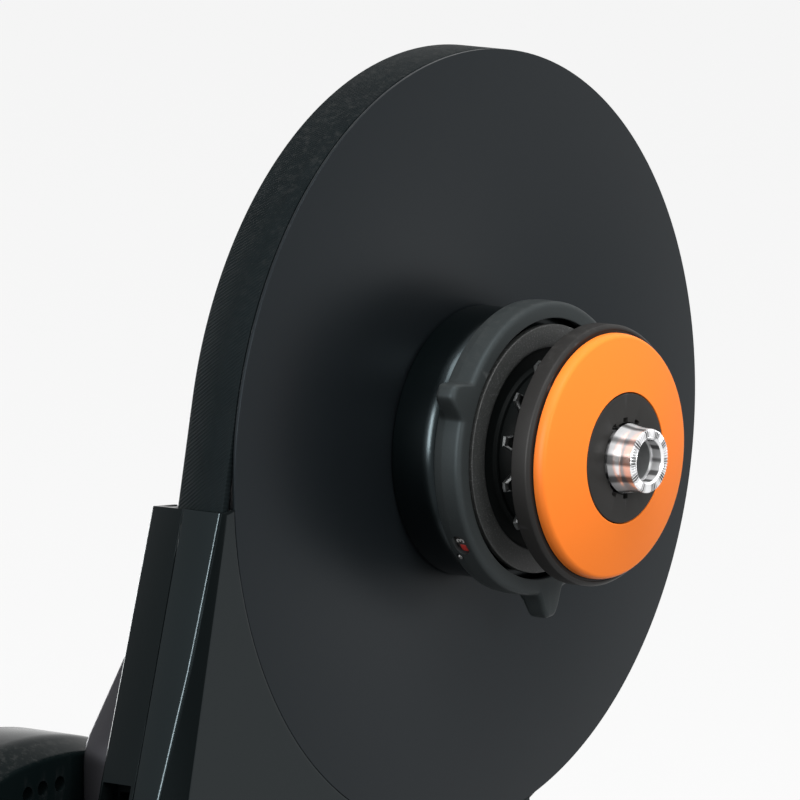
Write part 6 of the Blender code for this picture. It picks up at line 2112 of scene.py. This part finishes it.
@dataclass
class Stand:
    """Frame casting, two cross legs, their caps, feet and bolts."""

    front: float = FRAME_FRONT
    back: float = FRAME_BACK
    pocket: float = 4.0
    axle_boss: float = 20.0
    bearing_boss: float = BEARING_BOSS_RADIUS
    bearing_seat: float = 16.3
    axle_hole: float = 8.8
    boss_front: float = BEARING_BOSS_FRONT
    boss_back: float = -58.4
    axle_boss_front: float = -13.69
    axle_boss_back: float = AXLE_BOSS_BACK
    spine_top: float = 56.0
    spine_bottom: float = 14.0
    leg_width: float = 38.0
    leg_height: float = 30.0
    leg_wall: float = 2.0
    leg_rounding: float = 9.0
    leg_length: float = 560.0
    leg_bottom: float = 15.0
    front_leg: float = 201.0
    rear_leg: float = -261.0
    cap_length: float = 12.5
    foot_radius: float = 17.0
    foot_place: float = 262.0
    pad_radius: float = 7.0
    stem_radius: float = 4.2
    stem_height: float = 14.0
    bolt_radius: float = 2.9
    bolt_head: float = 5.0
    bolt_socket: float = 2.4
    bolt_top: float = 5.0

    @property
    def leg_middle(self) -> float:
        """z of the legs' middle."""
        return FLOOR + self.leg_bottom + self.leg_height / 2

    def frame_outline(self) -> Outline:
        """Outside of the casting, from the hub boss round by the flywheel to the front foot.

        Returns:
            The outline.
        """
        rear = self.rear_leg - self.leg_width / 2 - 4.0
        front = self.front_leg + self.leg_width / 2 + 4.0
        top = FLOOR + self.spine_top
        bottom = FLOOR + self.spine_bottom
        return rounded([
            (40.0, 40.0, 38.0), (-40.0, 40.0, 38.0), (-97.0, -28.0, 24.0), (-137.0, -77.0, 14.0),
            (-137.0, -148.0, 10.0), (-184.0, -168.0, 18.0), (-184.0, -208.0, 24.0),
            (-238.0, top, 30.0), (rear, top, 6.0), (rear, bottom, 4.0), (front, bottom, 4.0),
            (front, top, 6.0), (150.0, top, 40.0), (58.0, -130.0, 60.0),
        ])

    def leg_section(self, less: float = 0.0) -> Outline:
        """Rounded rectangle of a leg tube, about its middle.

        Args:
            less: How far each side is moved inwards.

        Returns:
            The outline.
        """
        half_width = self.leg_width / 2 - less
        half_height = self.leg_height / 2 - less
        radius = self.leg_rounding - less
        return rounded([
            (half_width, half_height, radius), (-half_width, half_height, radius),
            (-half_width, -half_height, radius), (half_width, -half_height, radius),
        ])

    def make_frame(self) -> None:
        """The casting: a plate with windows, a recess, bosses and the spine along the floor."""
        top = FLOOR + self.spine_top
        lower = rounded([
            (14.0, -152.0, 14.0), (-92.0, -206.0, 14.0), (-104.0, top + 22.0, 14.0),
            (58.0, top + 20.0, 14.0),
        ])
        upper = rounded([(-6.0, -58.0, 10.0), (-82.0, -128.0, 10.0), (12.0, -104.0, 10.0)])
        recess = rounded([(-28.0, 10.0, 8.0), (-88.0, -32.0, 12.0), (-126.0, -80.0, 10.0),
                          (-126.0, -142.0, 8.0), (-104.0, -140.0, 8.0), (-26.0, -58.0, 10.0)])
        axle = circle(self.axle_hole, SMALL)
        seat = circle(self.bearing_seat, 64, FLYWHEEL_AXIS)
        axle_boss = circle(self.axle_boss, 96)
        bearing_boss = circle(self.bearing_boss, 96, FLYWHEEL_AXIS)
        bores = [
            Bore(axle, self.axle_boss_back, self.axle_boss_front),
            Bore(seat, self.boss_back, self.boss_front),
            Bore(lower, self.back, self.front), Bore(upper, self.back, self.front),
        ]
        for leg in (self.front_leg, self.rear_leg):
            bores.append(Bore(moved(self.leg_section(-GAP), leg, self.leg_middle), self.back, self.front))
        front_steps = [Step(axle_boss, self.axle_boss_front, [axle])]
        front_steps += [Step(bearing_boss, self.boss_front, [seat])]
        front_steps += [Step(circle(self.pad_radius, 40, spot), GUARD_BACK - GAP) for spot in GUARD_SCREWS]
        back_steps = [
            Step(axle_boss, self.axle_boss_back, [axle]), Step(bearing_boss, self.boss_back, [seat]),
            Step(recess, self.back + self.pocket),
        ]
        casting = slab(self.frame_outline(), self.back, self.front, 0.9, bores, front_steps, back_steps)
        piece("frame_casting", casting, Finishes.frame_paint, "root", ["main_frame"], smooth=32.0)

    def make_legs(self) -> None:
        """The cross tubes with caps, feet and clamp bolts."""
        half = self.leg_length / 2
        section, hollow = self.leg_section(), self.leg_section(self.leg_wall)
        for name, y in (("front_leg", self.front_leg), ("rear_leg", self.rear_leg)):
            tube = bmesh.new()
            outer = moved(section, y, self.leg_middle)
            inner = moved(hollow, y, self.leg_middle)
            loft(tube, [(-half, outer), (half, outer)])
            loft(tube, [(-half, inner), (half, inner)])
            for end in (-half, half):
                flat(tube, end, [outer, inner])
            piece(name + "_tube", tube, Finishes.leg_paint, "root", [name], smooth=32.0)
            clamp_x = (self.back + self.front) / 2
            piece(name + "_screw", self.clamp_bolt(clamp_x, y), Finishes.bolt, "root", [name + "_bolt"])
            for side, hand in ((-1, "left"), (1, "right")):
                cap = self.leg_cap(side, y)
                piece(f"{name}_end_{hand}", cap, Finishes.rubber, "root", [f"{name}_cap_{hand}"])
                self.make_foot(name, side, hand, y)

    def leg_cap(self, side: int, y: float) -> bmesh.types.BMesh:
        """Moulded cap over the end of a leg tube, domed a little, with its plug inside.

        Args:
            side: -1 on the left and 1 on the right.
            y: y of the leg.

        Returns:
            The mesh.
        """
        half = self.leg_length / 2
        place = (y, self.leg_middle)
        plug = moved(self.leg_section(self.leg_wall + GAP), *place)
        rings = [(side * (half - 10.0), plug), (side * (half + GAP), plug)]
        end = self.cap_length
        for depth, less in (
            (GAP, 0.35), (0.7, 0.0), (end - 5.0, 0.0), (end - 3.0, 0.35), (end - 1.3, 1.3),
            (end - 0.35, 2.8), (end, 5.0),
        ):
            rings.append((side * (half + depth), moved(self.leg_section(less), *place)))
        return stacked(rings)

    def make_foot(self, leg: str, side: int, hand: str, y: float) -> None:
        """Rubber foot with a grip ring; the front ones turn by hand.

        Args:
            leg: Node of the leg.
            side: -1 on the left and 1 on the right.
            hand: The side's name.
            y: y of the leg.
        """
        top = self.leg_middle - self.leg_height / 2 - GAP
        radius = self.foot_radius
        levelling = leg == "front_leg"
        rings = []
        count = 96
        stem = self.stem_radius
        for z, size, grip in (
            (FLOOR, radius - 1.0, 0.0), (FLOOR + 0.4, radius - 0.3, 0.0), (FLOOR + 1.2, radius, 0.0),
            (FLOOR + 1.8, radius, 0.7), (FLOOR + 4.6, radius, 0.7), (FLOOR + 5.2, radius - 0.4, 0.0),
            (FLOOR + 8.0, radius - 3.5, 0.0), (FLOOR + 8.6, radius - 3.7, 0.0),
            (top - 0.5, radius - 3.7, 0.0), (top, radius - 4.2, 0.0), (top, stem, 0.0),
            (top + self.stem_height, stem, 0.0),
        ):
            outline = []
            for index in range(count):
                notch = grip if levelling and index % 8 in (0, 1) else 0.0
                outline.append(polar(size - notch, 360.0 * index / count))
            rings.append((z, outline))
        foot = upright(stacked(rings), side * self.foot_place, y)
        node = f"levelling_foot_{hand}" if levelling else f"rear_foot_{hand}"
        body = f"{hand}_foot" if levelling else "root"
        piece(f"{node}_pad", foot, Finishes.rubber, body, [node], smooth=30.0)

    def clamp_bolt(self, x: float, y: float) -> bmesh.types.BMesh:
        """Socket-head bolt from the top of the spine into a leg tube.

        Args:
            x: x of its axis.
            y: y of its axis.

        Returns:
            The mesh.
        """
        top = FLOOR + self.spine_top
        bm = bmesh.new()
        low = self.leg_middle + 9.0
        shank, head = circle(self.bolt_radius, 32), circle(self.bolt_head, 48)
        socket = circle(self.bolt_socket, 6)
        under, end, bottom = top + GAP, top + self.bolt_top, top + 2.2
        face = rim(head, end, 1, 0.5)
        loft(bm, [(low, shank), (under, shank)])
        flat(bm, low, [shank])
        flat(bm, under, [head, shank])
        loft(bm, [(under, head)] + face)
        flat(bm, end, [face[-1][1], socket])
        loft(bm, [(end, socket), (bottom, socket)])
        flat(bm, bottom, [socket])
        return upright(bm, x, y)

    def build(self) -> None:
        """Builds and dresses the stand."""
        self.make_frame()
        self.make_legs()


@dataclass
class Electronics:
    """Case on the front strut with its inlet and lens, the board inside and the speed sensor."""

    frame_back: float = FRAME_BACK
    frame_front: float = FRAME_FRONT
    depth: float = 24.0
    wall: float = 2.0
    inlet: Point = (82.0, -214.0)
    inlet_radius: float = 5.5
    lens: Point = (52.0, -172.0)
    lens_radius: float = 2.0
    slots: int = 5

    def case_outline(self, less: float) -> Outline:
        """The case follows the front strut; less moves each side inwards.

        Args:
            less: How far each side is moved inwards.

        Returns:
            The outline.
        """
        corners = [(58.0, -156.0), (30.0, -160.0), (70.0, -240.0), (118.0, -240.0)]
        middle = sum((Vector(corner) for corner in corners), Vector((0.0, 0.0))) / len(corners)
        points = []
        for y, z in corners:
            inwards = (middle - Vector((y, z))).normalized() * less * 1.5
            points.append((y + inwards.x, z + inwards.y, 7.0))
        return rounded(points)

    def make_case(self) -> None:
        """The case: open towards the frame, with cooling slots on its outside."""
        front = self.frame_back - GAP
        back = front - self.depth
        outline = self.case_outline(0.0)
        inside = self.case_outline(self.wall + 0.6)
        bm = bmesh.new()
        loft(bm, rim(outline, back, -1, 2.0, 6)[::-1] + [(front, outline)])
        loft(bm, [(back + self.wall, inside), (front, inside)])
        flat(bm, front, [outline, inside])
        flat(bm, back + self.wall, [inside])
        flat(bm, back, [inset(outline, 2.0)])
        low, high = back - 1.0, back + self.wall + 1.0
        cuts = [
            peg(self.inlet_radius + GAP, low, high, 0.05, SMALL, self.inlet),
            peg(self.lens_radius + GAP, low, high, 0.05, 32, self.lens),
        ]
        for number in range(self.slots):
            y, z = 66.0 + 2.2 * number, -184.0 - 4.0 * number
            slot = rounded([
                (y + way_y * 7.0, z + way_z * 0.7, 0.69)
                for way_y, way_z in ((1, 1), (-1, 1), (-1, -1), (1, -1))
            ], 30.0)
            cuts.append(stacked([(low, slot), (high, slot)]))
        piece("power_case", bm, Finishes.satin, "root", ["electronics_case"], cut=cuts, smooth=30.0)

    def make_inlet(self) -> None:
        """Power inlet with its pin, and the status lens."""
        back = self.frame_back - GAP - self.depth
        seat, face_x, floor_x, end = back - GAP, back - GAP - 1.0, back + 8.0, back + 11.0
        flange = circle(self.inlet_radius + 2.0, 64, self.inlet)
        outer = circle(self.inlet_radius, 64, self.inlet)
        socket, pin = circle(3.0, 32, self.inlet), circle(1.1, 24, self.inlet)
        bm = bmesh.new()
        face = rim(flange, face_x, -1, 0.4)[::-1]
        mouth = rim(socket, face_x, -1, -0.4)[::-1]
        loft(bm, face + [(seat, flange)])
        flat(bm, seat, [flange, outer])
        loft(bm, [(seat, outer), (end, outer)])
        flat(bm, end, [outer])
        flat(bm, face_x, [face[0][1], mouth[0][1]])
        loft(bm, mouth + [(floor_x, socket)])
        flat(bm, floor_x, [socket, pin])
        loft(bm, [(floor_x, pin)] + rim(pin, back + 0.6, -1, 0.3))
        flat(bm, back + 0.6, [inset(pin, 0.3)])
        piece("inlet_socket", bm, Finishes.satin, "root", ["power_inlet"], smooth=32.0)
        lens = circle(self.lens_radius, 32, self.lens)
        rings = rim(lens, back - 0.4, -1, 0.6, 4)[::-1] + [(back + 7.0, lens)]
        piece("lens_dome", stacked(rings), Finishes.lens, "root", ["status_lens"])

    def make_sensor(self) -> None:
        """Speed sensor on the frame, looking at the big pulley's ribs."""
        spot = rounded([(-34.0, -22.0, 2.0), (-48.0, -22.0, 2.0), (-48.0, -40.0, 2.0), (-34.0, -40.0, 2.0)])
        eye = circle(2.2, 32, (-41.0, -31.0))
        front = self.frame_front + 7.6
        bm = slab(spot, self.frame_front + GAP, front, 0.5, front_steps=[Step(eye, front - 0.8)])
        piece("pulse_sensor", bm, Finishes.satin, "root", ["speed_sensor"])

    def build(self) -> None:
        """Builds and dresses the electronics."""
        self.make_case()
        self.make_inlet()
        self.make_sensor()
        dress(Finishes.board, "circuit_board")


@dataclass(frozen=True)
class Lamp:
    """A large soft box: where it is, what it points at, its width and height and its power.

    A lamp that isn't matt lights reflections only.
    """

    name: str
    place: tuple[float, float, float]
    aim: tuple[float, float, float]
    size: tuple[float, float]
    power: float
    matt: bool = True

    def hang(self) -> None:
        """Puts the lamp into the scene."""
        data = bpy.data.lights.new(self.name, "AREA")
        data.shape = "RECTANGLE"
        data.size, data.size_y = self.size
        data.energy = self.power
        lamp = bpy.data.objects.new(self.name, data)
        lamp.location = self.place
        lamp.visible_camera = False
        lamp.visible_diffuse = self.matt
        way = Vector(self.aim) - Vector(self.place)
        lamp.rotation_euler = way.to_track_quat("-Z", "Y").to_euler()
        bpy.context.scene.collection.objects.link(lamp)


@dataclass
class Studio:
    """Camera at the photograph's viewing angle, pale floor and soft light."""

    camera_place: tuple[float, float, float] = (2.078441, -2.830978, 0.922186)
    turn: float = 0.633
    dip: float = 0.160
    lens: float = 540.0
    sensor: float = 36.0
    floor_reach: float = 120.0
    pale: float = 0.939
    floor_share: float = 0.15
    floor_light: float = 1.2
    ambient: float = 0.9
    lamps: tuple[Lamp, ...] = (
        Lamp("overhead", (0.2, 0.2, 2.6), (0.0, 0.0, 0.3), (1.6, 1.6), 5.0),
        Lamp("upper front", (0.7, -0.9, 2.8), (0.0, 0.0, 0.35), (1.2, 1.2), 60.0),
        Lamp("low left", (-3.4, 0.2, 0.5), (0.0, 0.0, 0.3), (0.8, 1.2), 100.0, matt=False),
        Lamp("back left", (-0.2, -4.0, 1.4), (0.0, 0.0, 0.35), (0.9, 2.4), 280.0, matt=False),
        Lamp("front", (3.8, -1.5, 1.6), (0.0, 0.0, 0.35), (1.2, 1.2), 78.0),
    )

    def make_camera(self) -> None:
        """A long lens far away, as the photograph was taken."""
        data = bpy.data.cameras.new("camera")
        data.lens = self.lens
        data.sensor_width = self.sensor
        data.clip_end = 500.0
        camera = bpy.data.objects.new("camera", data)
        forward = Vector((
            -math.sin(self.turn) * math.cos(self.dip),
            math.cos(self.turn) * math.cos(self.dip),
            -math.sin(self.dip),
        ))
        right = Vector((math.cos(self.turn), math.sin(self.turn), 0.0))
        up = right.cross(forward)
        matrix = Matrix((right, up, -forward)).transposed().to_4x4()
        matrix.translation = self.camera_place
        camera.matrix_world = matrix
        bpy.context.scene.collection.objects.link(camera)
        bpy.context.scene.camera = camera

    def seen(self, maker: NodeMaker) -> bpy.types.NodeSocket:
        """1 on rays that show the background itself, in the camera, a reflection or glass.

        Args:
            maker: Places the nodes.

        Returns:
            The value.
        """
        rays = maker.add("ShaderNodeLightPath")
        some = maker.math("MAXIMUM", rays.outputs["Is Camera Ray"], rays.outputs["Is Glossy Ray"])
        return maker.math("MAXIMUM", some, rays.outputs["Is Transmission Ray"])

    def make_floor(self) -> None:
        """A pale floor that keeps the shadow."""
        bm = bmesh.new()
        reach = self.floor_reach / MM
        bmesh.ops.create_grid(bm, x_segments=2, y_segments=2, size=reach)
        bmesh.ops.translate(bm, vec=(0.0, -HUB.y / MM, FLOOR), verts=bm.verts)
        floor = bpy.data.objects.new("floor", to_mesh("floor", bm))
        bpy.context.scene.collection.objects.link(floor)
        material = bpy.data.materials.new("pale_floor")
        material.use_nodes = True
        maker = NodeMaker(material.node_tree)
        out = maker.add("ShaderNodeOutputMaterial")
        plain = maker.add("ShaderNodeBsdfDiffuse")
        plain.inputs["Color"].default_value = (self.floor_share, self.floor_share, self.floor_share, 1.0)
        glow = maker.add("ShaderNodeEmission")
        glow.inputs["Color"].default_value = (1.0, 1.0, 1.0, 1.0)
        level = self.pale - self.floor_share * self.floor_light
        maker.link(maker.math("MULTIPLY", self.seen(maker), level), glow.inputs["Strength"])
        both = maker.add("ShaderNodeAddShader")
        maker.link(plain.outputs[0], both.inputs[0])
        maker.link(glow.outputs[0], both.inputs[1])
        maker.link(both.outputs[0], out.inputs["Surface"])
        floor.data.materials.append(material)

    def make_world(self) -> None:
        """Even light from all round, pale where it is seen."""
        world = bpy.data.worlds.new("studio")
        bpy.context.scene.world = world
        world.use_nodes = True
        maker = NodeMaker(world.node_tree)
        out = maker.add("ShaderNodeOutputWorld")
        sky = maker.add("ShaderNodeBackground")
        sky.inputs["Color"].default_value = (1.0, 1.0, 1.0, 1.0)
        seen = self.seen(maker)
        level = maker.math("MULTIPLY_ADD", seen, self.pale - self.ambient, self.ambient)
        maker.link(level, sky.inputs["Strength"])
        maker.link(sky.outputs[0], out.inputs["Surface"])

    def build(self) -> None:
        """Builds the studio."""
        self.make_camera()
        self.make_floor()
        self.make_world()
        for lamp in self.lamps:
            lamp.hang()
        bpy.context.scene.view_settings.view_transform = "Standard"


def main() -> None:
    """Builds and dresses every sub-assembly, then the studio."""
    logging.basicConfig(level=logging.INFO, format="%(message)s")
    make_groups()
    for part in (
        Studio(), BeltDrive(), HubUnit(), Adjuster(), ChainUnit(), Flywheel(), Covers(), Stand(),
        Electronics(),
    ):
        log.info("building %s", type(part).__name__)
        part.build()


if __name__ == "__main__":
    main()
